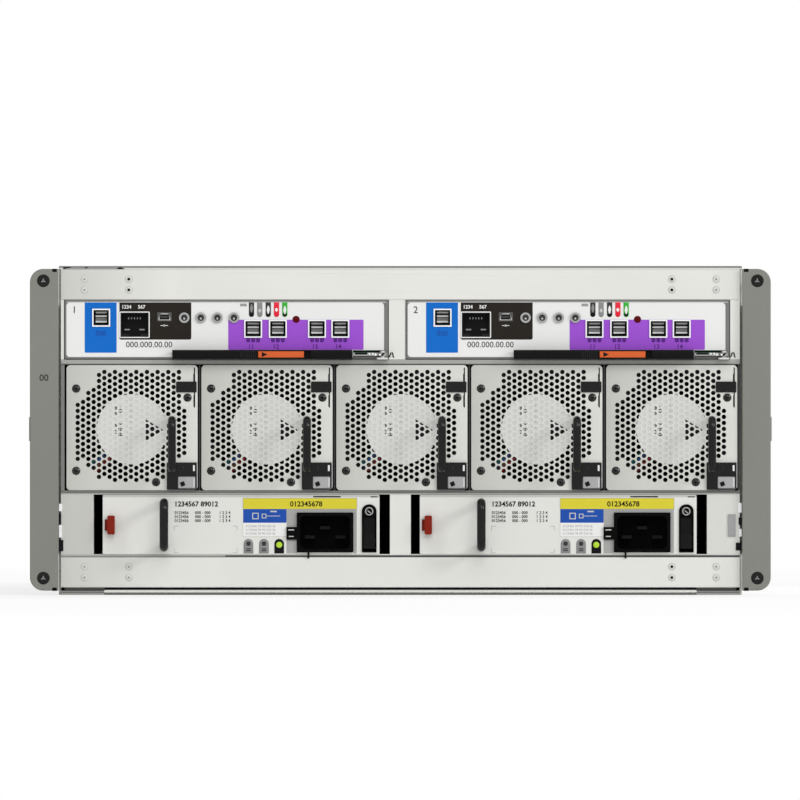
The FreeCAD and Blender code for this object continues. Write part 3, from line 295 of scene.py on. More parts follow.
def digitPiece(name, body, kind, lines, height, at=(0.0, 0.0), lift=0.1, bold=0.0, ahead=0.0):
    # plain digits as flat lettering: each line is (text, left, bottom)
    shapes = []
    for text, left, bottom in lines:
        curve = bpy.data.curves.new(name, "FONT")
        curve.body = text
        curve.size = height * mm * 1.38
        curve.extrude = 0.02 * mm
        curve.offset = bold * mm
        curve.resolution_u = 3
        item = bpy.data.objects.new(name, curve)
        bpy.context.scene.collection.objects.link(item)
        bpy.context.view_layer.update()
        evaluated = item.evaluated_get(bpy.context.evaluated_depsgraph_get())
        mesh = bpy.data.meshes.new_from_object(evaluated)
        flat = np.empty(len(mesh.vertices) * 3)
        mesh.vertices.foreach_get("co", flat)
        flat = flat.reshape(-1, 3) / mm
        placed = ringAt(flat + np.array([left, bottom, 0.0]), lift, ahead)
        placed[:, 1] -= flat[:, 2]
        shapes.append((placed, [list(polygon.vertices) for polygon in mesh.polygons]))
        bpy.data.objects.remove(item)
        bpy.data.meshes.remove(mesh)
    addPiece(name, body, kind, shapes, at)


def digitsFrom(table, body, at, ahead=0.0):
    # every piece of a table; its rows are name: (finish, lines, height, lift, boldness)
    for name, (kind, lines, height, lift, bold) in table.items():
        digitPiece(body + "_" + name, body, kind, lines, height, at, lift, bold, ahead)


def square(x, z, half):
    return x - half, x + half, z - half, z + half


def movedGlyph(glyph, x, z):
    return [(x + u, z + v) for u, v in glyph]


# Shader node groups: effects that several finishes share

def newGroup(name, inputs, outputs):
    group = bpy.data.node_groups.new(name, "ShaderNodeTree")
    for label, kind, value in inputs:
        socket = group.interface.new_socket(label, in_out="INPUT", socket_type=kind)
        if value is not None:
            socket.default_value = value
    for label, kind in outputs:
        group.interface.new_socket(label, in_out="OUTPUT", socket_type=kind)
    entry = group.nodes.new("NodeGroupInput")
    leave = group.nodes.new("NodeGroupOutput")
    return group, entry, leave


def addNode(tree, kind, settings=None, inputs=None):
    node = tree.nodes.new(kind)
    for key, value in (settings or {}).items():
        setattr(node, key, value)
    for key, value in (inputs or {}).items():
        if isinstance(value, bpy.types.NodeSocket):
            tree.links.new(value, node.inputs[key])
        else:
            node.inputs[key].default_value = value
    return node


def mathNode(tree, operation, first, second=0.0, clamp=False):
    settings = {"operation": operation, "use_clamp": clamp}
    return addNode(tree, "ShaderNodeMath", settings, {0: first, 1: second}).outputs[0]


def mixColour(tree, factor, first, second):
    node = addNode(tree, "ShaderNodeMix", {"data_type": "RGBA"}, {"Factor": factor, 6: first, 7: second})
    return node.outputs[2]


def mixValue(tree, factor, first, second):
    return addNode(tree, "ShaderNodeMix", None, {"Factor": factor, 2: first, 3: second}).outputs[0]


def objectPlace(tree):
    return addNode(tree, "ShaderNodeTexCoord").outputs["Object"]


def splitVector(tree, vector):
    return addNode(tree, "ShaderNodeSeparateXYZ", None, {0: vector}).outputs


def noise(tree, place, scale, detail=2.0):
    values = {"Vector": place, "Scale": scale, "Detail": detail}
    return addNode(tree, "ShaderNodeTexNoise", None, values).outputs["Fac"]


def makeInsideBox():
    # 1 where the object point lies between Low and High on all three axes, else 0
    group, entry, leave = newGroup("insideBox", [
        ("Low", "NodeSocketVector", None),
        ("High", "NodeSocketVector", None),
    ], [("Mask", "NodeSocketFloat")])
    place = objectPlace(group)
    least = None
    for first, second in ((place, entry.outputs["Low"]), (entry.outputs["High"], place)):
        room = addNode(group, "ShaderNodeVectorMath", {"operation": "SUBTRACT"}, {0: first, 1: second})
        for value in splitVector(group, room.outputs[0]):
            least = value if least is None else mathNode(group, "MINIMUM", least, value)
    group.links.new(mathNode(group, "GREATER_THAN", least, 0.0), leave.inputs["Mask"])
    return group


surfaceOutputs = [("Color", "NodeSocketColor"), ("Roughness", "NodeSocketFloat"),
                  ("Height", "NodeSocketFloat")]


def makeSheetFinish():
    # painted or plated sheet: broad tone drift, fine grain and a roughness that follows the grain
    group, entry, leave = newGroup("sheetFinish", [
        ("Color", "NodeSocketColor", (0.8, 0.8, 0.8, 1.0)),
        ("Worn Color", "NodeSocketColor", (0.6, 0.6, 0.6, 1.0)),
        ("Drift", "NodeSocketFloat", 0.35),
        ("Grain Scale", "NodeSocketFloat", 2400.0),
        ("Grain", "NodeSocketFloat", 0.12),
        ("Roughness", "NodeSocketFloat", 0.45),
    ], surfaceOutputs)
    place = objectPlace(group)
    broad = noise(group, place, 9.0, 3.0)
    fine = noise(group, place, entry.outputs["Grain Scale"])
    drift = mathNode(group, "MULTIPLY", mathNode(group, "SUBTRACT", broad, 0.42, True),
                     mathNode(group, "MULTIPLY", entry.outputs["Drift"], 4.0), True)
    toned = mixColour(group, drift, entry.outputs["Color"], entry.outputs["Worn Color"])
    speck = mathNode(group, "MULTIPLY", fine, entry.outputs["Grain"], True)
    rough = mathNode(group, "ADD", entry.outputs["Roughness"], mathNode(group, "MULTIPLY", speck, 0.8))
    group.links.new(mixColour(group, speck, toned, entry.outputs["Worn Color"]), leave.inputs["Color"])
    group.links.new(rough, leave.inputs["Roughness"])
    group.links.new(fine, leave.inputs["Height"])
    return group


def makeMouldedGrain():
    # moulded plastic: a pebbled height from cell distance and a slight broad tone change, with a roughness
    # that follows it
    group, entry, leave = newGroup("mouldedGrain", [
        ("Color", "NodeSocketColor", (0.05, 0.05, 0.05, 1.0)),
        ("Light Color", "NodeSocketColor", (0.09, 0.09, 0.09, 1.0)),
        ("Pebble Scale", "NodeSocketFloat", 2200.0),
        ("Roughness", "NodeSocketFloat", 0.5),
    ], surfaceOutputs)
    place = objectPlace(group)
    cells = addNode(group, "ShaderNodeTexVoronoi", None,
                    {"Vector": place, "Scale": entry.outputs["Pebble Scale"]})
    broad = noise(group, place, 60.0, 3.0)
    rough = mathNode(group, "ADD", entry.outputs["Roughness"],
                     mathNode(group, "MULTIPLY", mathNode(group, "SUBTRACT", broad, 0.5), 0.15))
    group.links.new(mixColour(group, broad, entry.outputs["Color"], entry.outputs["Light Color"]),
                    leave.inputs["Color"])
    group.links.new(rough, leave.inputs["Roughness"])
    group.links.new(cells.outputs["Distance"], leave.inputs["Height"])
    return group


insideBox = makeInsideBox()
sheetFinish = makeSheetFinish()
mouldedGrain = makeMouldedGrain()


# Finishes

def newFinish(name, metallic=0.0, ior=1.5):
    material = bpy.data.materials.new(name)
    material.use_nodes = True
    shader = material.node_tree.nodes["Principled BSDF"]
    shader.inputs["Metallic"].default_value = metallic
    shader.inputs["IOR"].default_value = ior
    return material, material.node_tree, shader


def bumpFrom(tree, shader, height, strength, distance):
    bump = addNode(tree, "ShaderNodeBump", None,
                   {"Strength": strength, "Distance": distance, "Height": height})
    tree.links.new(bump.outputs["Normal"], shader.inputs["Normal"])


def opaque(colour):
    return (colour[0], colour[1], colour[2], 1.0)


def sheetNode(tree, shader, colour, worn, roughness, drift, grain, bump=0.12):
    # the sheet group with its own values, and its height as the bump
    sheet = addNode(tree, "ShaderNodeGroup", {"node_tree": sheetFinish}, {
        "Color": colour, "Worn Color": opaque(worn), "Roughness": roughness, "Drift": drift, "Grain": grain})
    bumpFrom(tree, shader, sheet.outputs["Height"], bump, 0.00003)
    return sheet


def linkSurface(tree, shader, group):
    tree.links.new(group.outputs["Color"], shader.inputs["Base Color"])
    tree.links.new(group.outputs["Roughness"], shader.inputs["Roughness"])


def paintFinish(name, colour, worn, roughness, metallic, drift, grain, ior):
    material, tree, shader = newFinish(name, metallic, ior)
    linkSurface(tree, shader, sheetNode(tree, shader, opaque(colour), worn, roughness, drift, grain))
    return material


def plasticFinish(name, colour, light, roughness, bump, ior, scale):
    material, tree, shader = newFinish(name, ior=ior)
    moulded = addNode(tree, "ShaderNodeGroup", {"node_tree": mouldedGrain}, {
        "Color": opaque(colour), "Light Color": opaque(light), "Roughness": roughness, "Pebble Scale": scale})
    linkSurface(tree, shader, moulded)
    bumpFrom(tree, shader, moulded.outputs["Height"], bump, 0.00004)
    return material


paintLooks = {  # finish: (colour, worn colour, roughness, metallic, drift, grain, ior)
    "earPaint": ((0.205, 0.205, 0.182), (0.17, 0.17, 0.15), 0.5, 0.0, 0.35, 0.3, 1.5),
    "zincPlate": ((0.62, 0.62, 0.60), (0.45, 0.45, 0.43), 0.32, 0.85, 0.6, 0.2, 1.5),
    "rivetHead": ((0.63, 0.63, 0.60), (0.54, 0.54, 0.51), 0.42, 0.0, 0.35, 0.12, 1.5),
    "screwBlack": ((0.008, 0.009, 0.007), (0.014, 0.014, 0.013), 0.08, 0.0, 0.35, 0.12, 1.42),
    "blackOxide": ((0.010, 0.010, 0.010), (0.024, 0.024, 0.024), 0.4, 0.0, 0.35, 0.12, 1.2),
    "labelPaper": ((0.64, 0.64, 0.62), (0.30, 0.30, 0.29), 0.5, 0.0, 0.12, 0.2, 1.5),
}
mouldingScale, printScale = 2200.0, 900.0
mouldingLooks = {  # finish: (colour, light colour, roughness, bump, ior)
    "blackMoulding": ((0.006, 0.006, 0.006), (0.010, 0.010, 0.010), 0.55, 0.15, 1.12),
    "glossBlack": ((0.002, 0.002, 0.002), (0.004, 0.004, 0.004), 0.14, 0.03, 1.32),
    # a grey that paints shade in seams and along rounded edges
    "seamShadeGrey": ((0.16, 0.16, 0.155), (0.19, 0.19, 0.185), 0.5, 0.05, 1.3),
    "rotorMoulding": ((0.005, 0.005, 0.006), (0.008, 0.008, 0.009), 0.5, 0.15, 1.12),
    "redMoulding": ((0.190, 0.012, 0.004), (0.225, 0.016, 0.006), 0.35, 0.06, 1.2),
    "orangeMoulding": ((0.59, 0.098, 0.018), (0.64, 0.118, 0.024), 0.4, 0.08, 1.3),
    "greyMoulding": ((0.33, 0.33, 0.32), (0.39, 0.39, 0.38), 0.5, 0.1, 1.3),
    "buttonGrey": ((0.36, 0.36, 0.36), (0.40, 0.40, 0.40), 0.45, 0.06, 1.3),
    "lensGrey": ((0.20, 0.20, 0.20), (0.27, 0.27, 0.27), 0.25, 0.02, 1.3),
    "lensDark": ((0.030, 0.030, 0.030), (0.045, 0.045, 0.045), 0.3, 0.02, 1.2),
    "lensRed": ((0.70, 0.010, 0.035), (0.78, 0.016, 0.045), 0.25, 0.02, 1.3),
    "lensGreen": ((0.020, 0.36, 0.020), (0.03, 0.42, 0.03), 0.25, 0.02, 1.3),
    "lampGreen": ((0.38, 0.62, 0.03), (0.50, 0.74, 0.05), 0.25, 0.02, 1.3),
    "buttonRed": ((0.085, 0.003, 0.006), (0.11, 0.005, 0.008), 0.3, 0.03, 1.12),
    "wireGreen": ((0.010, 0.11, 0.08), (0.015, 0.14, 0.10), 0.4, 0.03, 1.3),
    "wireRed": ((0.20, 0.012, 0.018), (0.25, 0.018, 0.024), 0.4, 0.03, 1.3),
    "wireBlue": ((0.012, 0.05, 0.20), (0.018, 0.07, 0.25), 0.4, 0.03, 1.3),
    "wireBrown": ((0.10, 0.045, 0.020), (0.13, 0.055, 0.026), 0.4, 0.03, 1.3),
}
printLooks = {  # finish: (colour, light colour, roughness, bump, ior)
    "blueLabel": ((0.006, 0.134, 0.530), (0.010, 0.146, 0.560), 0.45, 0.03, 1.15),
    "royalLabel": ((0.016, 0.074, 0.365), (0.020, 0.082, 0.390), 0.45, 0.03, 1.15),
    "purpleLabel": ((0.318, 0.080, 0.590), (0.335, 0.090, 0.620), 0.45, 0.03, 1.15),
    "yellowLabel": ((0.640, 0.565, 0.030), (0.670, 0.590, 0.036), 0.45, 0.03, 1.3),
    "whiteLabel": ((0.76, 0.76, 0.75), (0.82, 0.82, 0.81), 0.5, 0.02, 1.3),
    "rimWhite": ((0.88, 0.89, 0.90), (0.92, 0.92, 0.93), 0.4, 0.02, 1.3),
    "darkPrint": ((0.020, 0.017, 0.014), (0.025, 0.021, 0.018), 0.4, 0.02, 1.12),
    "inkBlack": ((0.006, 0.006, 0.007), (0.012, 0.012, 0.013), 0.6, 0.02, 1.12),
    "inkGrey": ((0.28, 0.28, 0.28), (0.34, 0.34, 0.34), 0.6, 0.02, 1.3),
    "inkPale": ((0.50, 0.50, 0.48), (0.56, 0.56, 0.54), 0.6, 0.02, 1.3),
    "inkPurple": ((0.085, 0.012, 0.20), (0.10, 0.016, 0.23), 0.6, 0.02, 1.3),
    "inkBlue": ((0.004, 0.060, 0.32), (0.006, 0.070, 0.36), 0.6, 0.02, 1.3),
}
finishes = {name: paintFinish(name, *looks) for name, looks in paintLooks.items()}
for table, scale in ((mouldingLooks, mouldingScale), (printLooks, printScale)):
    finishes.update({name: plasticFinish(name, *looks, scale) for name, looks in table.items()})
print("finishes made:", len(finishes))


# Chassis fixings and marks

chassisLooks = {
    "rivetAcross": (205.8, 176.9),
    "rivetUpper": (198.7, 205.7),
    "rivetLower": (11.3, 18.4),
    "rivetRadius": 2.5,
    "rivetRingWidth": 0.32,
    "rivetProfile": ((0.0, 0.0), (0.12, 0.16), (0.5, 0.24), (1.5, 0.28)),
    "centreRadius": (0.75, 0.95),
    "coverMarks": (((-219.6, 212.3), (-214.4, 213.2), (-214.4, 213.6), (-219.6, 213.6)),
                   ((-205.6, 212.9), (-203.6, 212.9), (-203.9, 213.6), (-205.3, 213.6)),
                   ((-184.8, 212.3), (-180.2, 212.3), (-181.6, 213.4), (-183.6, 213.4))),
    "starArm": (1.5, 0.42),
    "starTurns": (90.0, 210.0, 330.0),
    "screwHeadHalf": 3.9,
    "socketFloor": 0.8,
    "earDigits": ("00", -235.2, 139.5),
    "earDigitHeight": 4.4,
    "earLift": 3.0,
}
edge = slab(-0.6, 0.08)
chassisPlates = {  # piece: (finish, spots, corner radius, profile, ahead)
    # painted shade: black plates just behind the ear's notches, so the notches show dark
    "earNotchShades": ("inkBlack", (
        (-227.0, -223.6, 210.2, 212.5), (-227.0, -223.6, 2.6, 5.0),
        (223.6, 227.0, 210.2, 212.5), (223.6, 227.0, 2.6, 5.0)), 0.1, slab(0.0, 0.3), -0.3),
    "coverEdgeShade": ("inkGrey", ((-219.0, -179.6, 212.2, 213.1),), 0.1, slab(0.0, 0.06), 0.0),
    # painted shade: a grey plate where the notch cut in the side strip shows its shaded inside
    "sideNotchShade": ("inkGrey", ((213.4, 218.4, 38.0, 52.6),), 0.1, slab(-0.6, 0.05), 0.0),
    "rightGleams": ("rimWhite", ((220.1, 222.4, 53.6, 60.0), (220.6, 222.4, 38.0, 43.0)), 0.1, edge, 0.0),
    "rightShades": ("inkBlack", ((220.4, 222.4, 45.8, 50.4), (218.6, 222.2, 29.0, 34.0)), 0.1, edge, 0.0),
    "leftGleams": ("rimWhite", ((-222.4, -220.4, 54.5, 59.4), (-222.4, -220.6, 37.4, 45.5)), 0.1, edge, 0.0),
    "leftShades": ("inkBlack", ((-222.4, -221.0, 46.3, 52.9), (-222.4, -219.6, 28.6, 35.8)), 0.1, edge, 0.0),
    # painted shade: grey strips in the seams between the modules' tops and the upper beam
    "baySeamShades": ("seamShadeGrey", ((-218.6, -8.2, 191.2, 192.15), (3.8, 214.4, 191.2, 192.15)), 0.1, edge, 0.0),
}


def chassisFixings():
    looks = chassisLooks
    outer = looks["rivetRadius"]
    inner = outer - looks["rivetRingWidth"]
    rivets, centres = [], ([], [])
    for side in (-1, 1):
        for column, across in enumerate(looks["rivetAcross"]):
            for z in looks["rivetUpper"] + looks["rivetLower"]:
                isOpen = column == 1 and not (side < 0 and z in looks["rivetLower"])
                rivets.append((side * across, z, inner))
                centres[isOpen].append((side * across, z, looks["centreRadius"][isOpen]))
    platePiece("beamRivets", "chassis", "rivetHead", rivets, profile=looks["rivetProfile"], smooth=True)
    # painted shade: a darker ring round each rivet head where it meets the beam
    ringPiece("rivetRimShades", "chassis", "inkPale", [(x, z, outer, inner) for x, z, inner in rivets], lift=0.1)
    # grey dots on the closed rivets, and black discs that paint the shade in the hollow centres of the open
    # ones
    for kind, spots, name in zip(("inkGrey", "inkBlack"), centres, ("closedCentres", "openCentreShades")):
        platePiece(name, "chassis", kind, spots, profile=slab(0.1, 0.34))
    platesFrom(chassisPlates, "chassis", prefix="")
    polygonPiece("coverEdgeMarks", "chassis", "inkBlack", looks["coverMarks"], lift=0.12)
    screwGlints()
    digitPiece("earDigits", "chassis", "inkBlack", [looks["earDigits"]], looks["earDigitHeight"],
               ahead=looks["earLift"])


def screwGlints():
    # three arms at equal angles about each rack screw's centre, in the floor of its socket: a painted
    # highlight in the socket
    looks = chassisLooks
    low, high = cornersOf("rack_screws")
    reach, half = looks["starArm"]
    inset = looks["screwHeadHalf"]
    across, upward = (low[0] + inset, high[0] - inset), (low[2] + inset, high[2] - inset)
    arms = []
    for centre in [(x, z) for x in across for z in upward]:
        for turn in np.radians(looks["starTurns"]):
            along = np.array([np.cos(turn), np.sin(turn)]) * reach
            side = np.array([-np.sin(turn), np.cos(turn)]) * half
            arms.append(centre + np.array([-side, along - side, along + side, side]))
    polygonPiece("screwGlints", "chassis", "inkGrey", arms, ahead=faceMm - low[1] - looks["socketFloor"])


# Input/output module labels and small parts, measured from the module's lower left corner

ioLooks = {
    "blueLabel": (12.96, 33.75, 4.4, 37.2),
    "blueCorner": 0.5,
    "darkPanel": (35.57, 82.4, 12.93, 37.2),
    "panelCorner": 1.2,
    "panelCorners": ((0, 0), (1, 0)),
    "jackNotch": 2.2,
    "purpleLabel": (106.46, 194.6, 6.3, 25.9),
    "purpleCorner": 0.7,
    "dataPort": (23.7, 27.2),
    "expansionPorts": (122.7, 138.8, 164.3, 179.5),
    "expansionLevel": 20.0,
    "portHalf": 5.6,
    "portRim": (-0.25, 0.6, 0.6),  # outwards, inwards, ahead
    "contactBars": ((2.9, 3.9, "whiteLabel"), (0.4, 1.6, "whiteLabel"), (-1.3, -0.4, "inkGrey"),
                    (-3.2, -1.9, "rimWhite")),
    "contactHalf": 3.7,
    "contactPlane": -3.7,
    "networkPort": (35.6, 55.3, 14.0, 31.2),
    "networkRim": (0.65, 0.4, 0.6),  # width, ahead, corner
    "networkPins": (41.6, 43.5, 45.4, 47.3, 49.2),
    "pinSpan": (0.3, 26.2, 27.4),
    "networkMarks": ((38.8, 42.4, 19.0, 19.9), (48.5, 52.1, 19.0, 19.9)),
    "markPlane": -1.0,
    "servicePort": (60.3, 69.5, 24.9, 30.7),
    "serviceRing": ((60.4, 25.0), (69.4, 25.0), (68.5, 30.4), (61.3, 30.4)),
    "serviceInner": ((61.5, 26.0), (68.3, 26.0), (67.6, 29.4), (62.2, 29.4)),
    "faceSpan": (0.75, 37.2),
    # widths of the painted shade border round the face: left, right, below, above
    "faceEdgeShade": (1.0, 2.6, 0.85, 0.15),
    "marginCorner": 2.2,
    "button": (150.7, 26.1, 2.35),
    "buttonProfile": (*slab(-1.2, 0.1), (0.35, 0.35), (1.2, 0.42)),
    "buttonNotch": (1.6, 24.5),
    "pillLefts": (119.9, 125.3, 130.8, 136.2, 141.6),
    "pillWidth": 3.45,
    "pillSpan": (27.6, 37.3),
    "pillProfile": (*slab(0.0, 0.1), (0.25, 0.3), (0.7, 0.36)),
    "pillFinishes": ("lensDark", "lensGrey", "lensDark", "lensRed", "lensGreen"),
    "pillMarks": (("lensGrey", 4.0), ("inkPale", 5.4), ("whiteLabel", 4.9), ("whiteLabel", 4.9),
                  ("whiteLabel", 5.1)),
    "pillGlyphs": (((-0.35, -2.6), (0.35, -2.6), (1.05, 0.2), (0.35, 2.6), (-0.35, 2.6), (-1.05, -0.2)),
                   ((-1.1, -0.4), (0.0, -1.5), (1.1, -0.2), (0.3, 1.2), (-0.6, 1.0))),
    "pillDots": (0, 2, 4),
    "dotPlace": (1.7, 1.35),
    "jackFirst": (77.8, 27.2),
    "jackPitch": 10.8,
    "jackCount": 4,
    "jackEye": (3.1, 0.8),
    "jackRim": (3.4, 2.15, 0.75),
    "jackPin": (0.6, 0.9),
    "moduleMark": {"a": "1", "b": "2"},
    "markPlace": (4.6, 30.2, 4.6),
    "tickGlyph": ((-1.3, -2.4), (0.0, -3.0), (1.3, -2.4), (1.3, 0.0), (-1.3, 0.0)),
    "tickSteps": (-3.2, 0.0, 3.2),
    "tickTop": 14.0,
    "portDigits": (-3.4, 7.0, 3.0),
}
ioDigits = {  # piece: (finish, lines, height, lift, boldness)
    "address": ("inkBlack", (("000.000.00.00", 39.7, 7.9),), 3.9, 0.1, 0.0),
    "panelDigits": ("whiteLabel", (("1234", 37.0, 33.2), ("567", 47.6, 33.2)), 2.3, 0.16, 0.08),
    "blueDigits": ("inkBlue", (("000", 20.0, 15.4),), 3.4, 0.16, 0.06),
}
ioTicks = {
    "greyTick": ("inkGrey", ((114.2, 118.6, 34.6, 36.4),), 0.2, plateProfile, 0.0),
    "panelTick": ("whiteLabel", ((62.4, 67.2, 21.9, 22.3), (64.2, 65.4, 21.5, 22.7, 0.5)), 0.1,
                  slab(0.1, 0.18), 0.0),
}


def ioPortPlaces():
    return [ioLooks["dataPort"]] + [(x, ioLooks["expansionLevel"]) for x in ioLooks["expansionPorts"]]


def ioLabels(body, at):
    # printed fields with their openings, and the rims and contacts of the square ports
    looks = ioLooks
    places = ioPortPlaces()
    holes = [square(x, z, looks["portHalf"]) for x, z in places]
    cutPlatePiece(body + "_blueLabel", body, "blueLabel", looks["blueLabel"], holes[:1], at, 0.1,
                  radius=looks["blueCorner"])
    purple, panel = looks["purpleLabel"], looks["darkPanel"]
    half, low = looks["buttonNotch"]
    notch = (looks["button"][0] - half, looks["button"][0] + half, low, purple[3])
    cutPlatePiece(body + "_purpleLabel", body, "purpleLabel", purple, holes[1:] + [notch], at, 0.1,
                  radius=looks["purpleCorner"])
    openings = [(panel[0], *looks["networkPort"][1:]), looks["servicePort"],
                square(*looks["jackFirst"], looks["jackNotch"])]
    cutPlatePiece(body + "_darkPanel", body, "darkPrint", panel, openings, at, 0.1,
                  radius=looks["panelCorner"], corners=looks["panelCorners"])
    outward, inward, ahead = looks["portRim"]
    for index, (x, z) in enumerate(places):
        rim = [square(x, z, looks["portHalf"] - inset) for inset in (outward, inward)]
        cutPlatePiece(body + "_portRim_" + str(index + 1), body, "rimWhite", rim[0], rim[1:], at, ahead=ahead)
        left, right = x - looks["contactHalf"], x + looks["contactHalf"]
        for number, (low, high, kind) in enumerate(looks["contactBars"]):
            platePiece(body + "_contact_" + str(index + 1) + "_" + str(number + 1), body, kind,
                       [(left, right, z + low, z + high)], at, 0.2, slab(-0.3, 0.1), looks["contactPlane"])


def ioPorts(body, at):
    # rims and marks of the network and service ports, and a grey border of painted shade round the face's
    # rounded edges
    looks = ioLooks
    x0, x1, z0, z1 = looks["networkPort"]
    inset, ahead, corner = looks["networkRim"]
    cutPlatePiece(body + "_networkRim", body, "whiteLabel", looks["networkPort"],
                  [(x0 + inset, x1 - inset, z0 + inset, z1 - inset)], at, ahead=ahead, radius=corner)
    half, low, high = looks["pinSpan"]
    pins = [(x - half, x + half, low, high) for x in looks["networkPins"]]
    platePiece(body + "_networkPins", body, "lensGrey", pins, at, ahead=looks["markPlane"])
    platePiece(body + "_networkMarks", body, "lensGrey", looks["networkMarks"], at, 0.3,
               ahead=looks["markPlane"])
    ring, inner = looks["serviceRing"], looks["serviceInner"]
    sides = [[ring[i - 1], ring[i], inner[i], inner[i - 1]] for i in range(4)]
    polygonPiece(body + "_serviceRim", body, "inkPale", sides, at, 0.18)
    x0, x1, z0, z1 = looks["servicePort"]
    beside = [[(x0, z0), ring[0], ring[3], (x0, z1)], [ring[1], (x1, z0), (x1, z1), ring[2]]]
    polygonPiece(body + "_serviceSurround", body, "darkPrint", beside, at)
    low, high = cornersOf(body + "_case")
    outer = (0.0, high[0] - low[0], *looks["faceSpan"])
    left, right, below, above = looks["faceEdgeShade"]
    inner = (outer[0] + left, outer[1] - right, outer[2] + below, outer[3] - above)
    marginPiece(body + "_faceEdgeShade", body, "seamShadeGrey", outer, inner, looks["marginCorner"], at)


def ioSmallParts(body, at):
    # status windows with their marks, the push spot and the round jacks
    looks = ioLooks
    width, (low, high) = looks["pillWidth"], looks["pillSpan"]
    rise, radius = looks["dotPlace"]
    for index, (x, kind) in enumerate(zip(looks["pillLefts"], looks["pillFinishes"])):
        label = str(index + 1)
        platePiece(body + "_statusLens_" + label, body, kind, [(x, x + width, low, high, "bowl")], at,
                   profile=looks["pillProfile"], smooth=True)
        markFinish, drop = looks["pillMarks"][index]
        mark = movedGlyph(looks["pillGlyphs"][index % 2], x + width / 2, high - drop)
        polygonPiece(body + "_statusMark_" + label, body, markFinish, [mark], at, 0.44)
        if index in looks["pillDots"]:
            dot = (x + width / 2, low + rise, radius)
            platePiece(body + "_statusDot_" + label, body, "inkBlack", [dot], at, profile=slab(0.3, 0.42))
    platePiece(body + "_pushSpot", body, "buttonRed", [looks["button"]], at, profile=looks["buttonProfile"],
               smooth=True)
    jackX, jackZ = looks["jackFirst"]
    across = [jackX + index * looks["jackPitch"] for index in range(looks["jackCount"])]
    radius, ahead = looks["jackEye"]
    platePiece(body + "_jackEyes", body, "lensDark", [(x, jackZ, radius) for x in across], at,
               profile=slab(0.0, 0.1), ahead=ahead)
    outer, inner, ahead = looks["jackRim"]
    rims = [(x, jackZ, outer, inner) for x in across]
    ringPiece(body + "_panelJackRim", body, "buttonGrey", rims[:1], at, 0.3, ahead)
    ringPiece(body + "_jackRims", body, "greyMoulding", rims[1:], at, 0.3, ahead)
    radius, ahead = looks["jackPin"]
    platePiece(body + "_jackPins", body, "inkPale", [(x, jackZ - radius, radius) for x in across], at,
               profile=slab(0.0, 0.1), ahead=ahead)


def ioLettering(letter, body, at):
    looks = ioLooks
    x, z, height = looks["markPlace"]
    digitPiece(body + "_number", body, "inkBlack", [(looks["moduleMark"][letter], x, z)], height, at)
    digitsFrom(ioDigits, body, at)
    shift, level, height = looks["portDigits"]
    numbers = [("1" + str(index + 1), x + shift, level) for index, x in enumerate(looks["expansionPorts"])]
    digitPiece(body + "_portDigits", body, "inkPurple", numbers, height, at, 0.16, 0.06)
    ticks = [movedGlyph(looks["tickGlyph"], x + step, looks["tickTop"])
             for x in looks["expansionPorts"] for step in looks["tickSteps"]]
    polygonPiece(body + "_portTicks", body, "inkPurple", ticks, at, 0.15)
    platesFrom(ioTicks, body, at)


leverLooks = {
    "catchArrow": ((128.4, 1.6), (132.0, 3.2), (128.4, 4.8)),
    "catchPlane": 10.1,
    # pale beads of painted highlight on the steel link: (x, z, radius, ahead)
    "linkGlints": ((198.4, 3.7, 0.65, 6.4), (200.6, 3.6, 0.7, 6.4), (202.4, 3.1, 0.8, 6.4),
                  (205.4, 3.0, 0.7, 8.4)),
    "linkShade": (189.0, 197.0, 3.2, 4.35),
    "linkPlane": 6.4,
    "eyeMark": ((205.4, 2.3), (207.0, 2.3), (208.8, 4.3), (207.2, 4.3)),
    "eyePlane": 8.4,
    "hookMarks": (((211.0, 1.4), (211.8, 1.4), (213.0, 4.6), (212.2, 4.6)),
                  ((213.8, 1.2), (214.6, 1.2), (213.8, 4.6), (213.0, 4.6))),
    "ridgeFirst": (114.2, 114.7, 0.9, 5.6),
    "ridgePitch": 1.2,
    "ridgeCount": 9,
    "ridgeProfile": (*slab(-0.2, 0.15), (0.12, 0.25)),
    "leverPlane": 9.5,
}


def ioLeverMarks(module, at):
    # grip ridges, painted highlights and small marks that ride on the lever and its catch, and the hook's
    # marks behind them
    looks = leverLooks
    lever = module + "_lever"
    polygonPiece(module + "_catchArrow", module + "_catch", "inkBlack", [looks["catchArrow"]], at,
                 ahead=looks["catchPlane"])
    # painted highlights: pale beads on the lever's steel link
    for number, (x, z, radius, proud) in enumerate(looks["linkGlints"]):
        platePiece(module + "_linkGlint_" + str(number + 1), lever, "rimWhite", [(x, z, radius)], at,
                   profile=domeProfile, ahead=proud, smooth=True)
    platePiece(module + "_linkShade", lever, "inkBlack", [looks["linkShade"]], at, 0.2, slab(-0.2, 0.1),
               looks["linkPlane"])
    polygonPiece(module + "_eyeMark", lever, "inkBlack", [looks["eyeMark"]], at, 0.3, looks["eyePlane"])
    polygonPiece(module + "_hookMarks", "chassis", "inkBlack", looks["hookMarks"], at,
                 ahead=faceMm - cornersOf("bay_frame")[0][1])
    left, right, bottom, top = looks["ridgeFirst"]
    steps = [index * looks["ridgePitch"] for index in range(looks["ridgeCount"])]
    ridges = [(left + step, right + step, bottom, top) for step in steps]
    platePiece(module + "_gripRidges", lever, "glossBlack", ridges, at, 0.2, looks["ridgeProfile"],
               looks["leverPlane"])


# Power supply labels and small parts, measured from the face plate's lower left corner

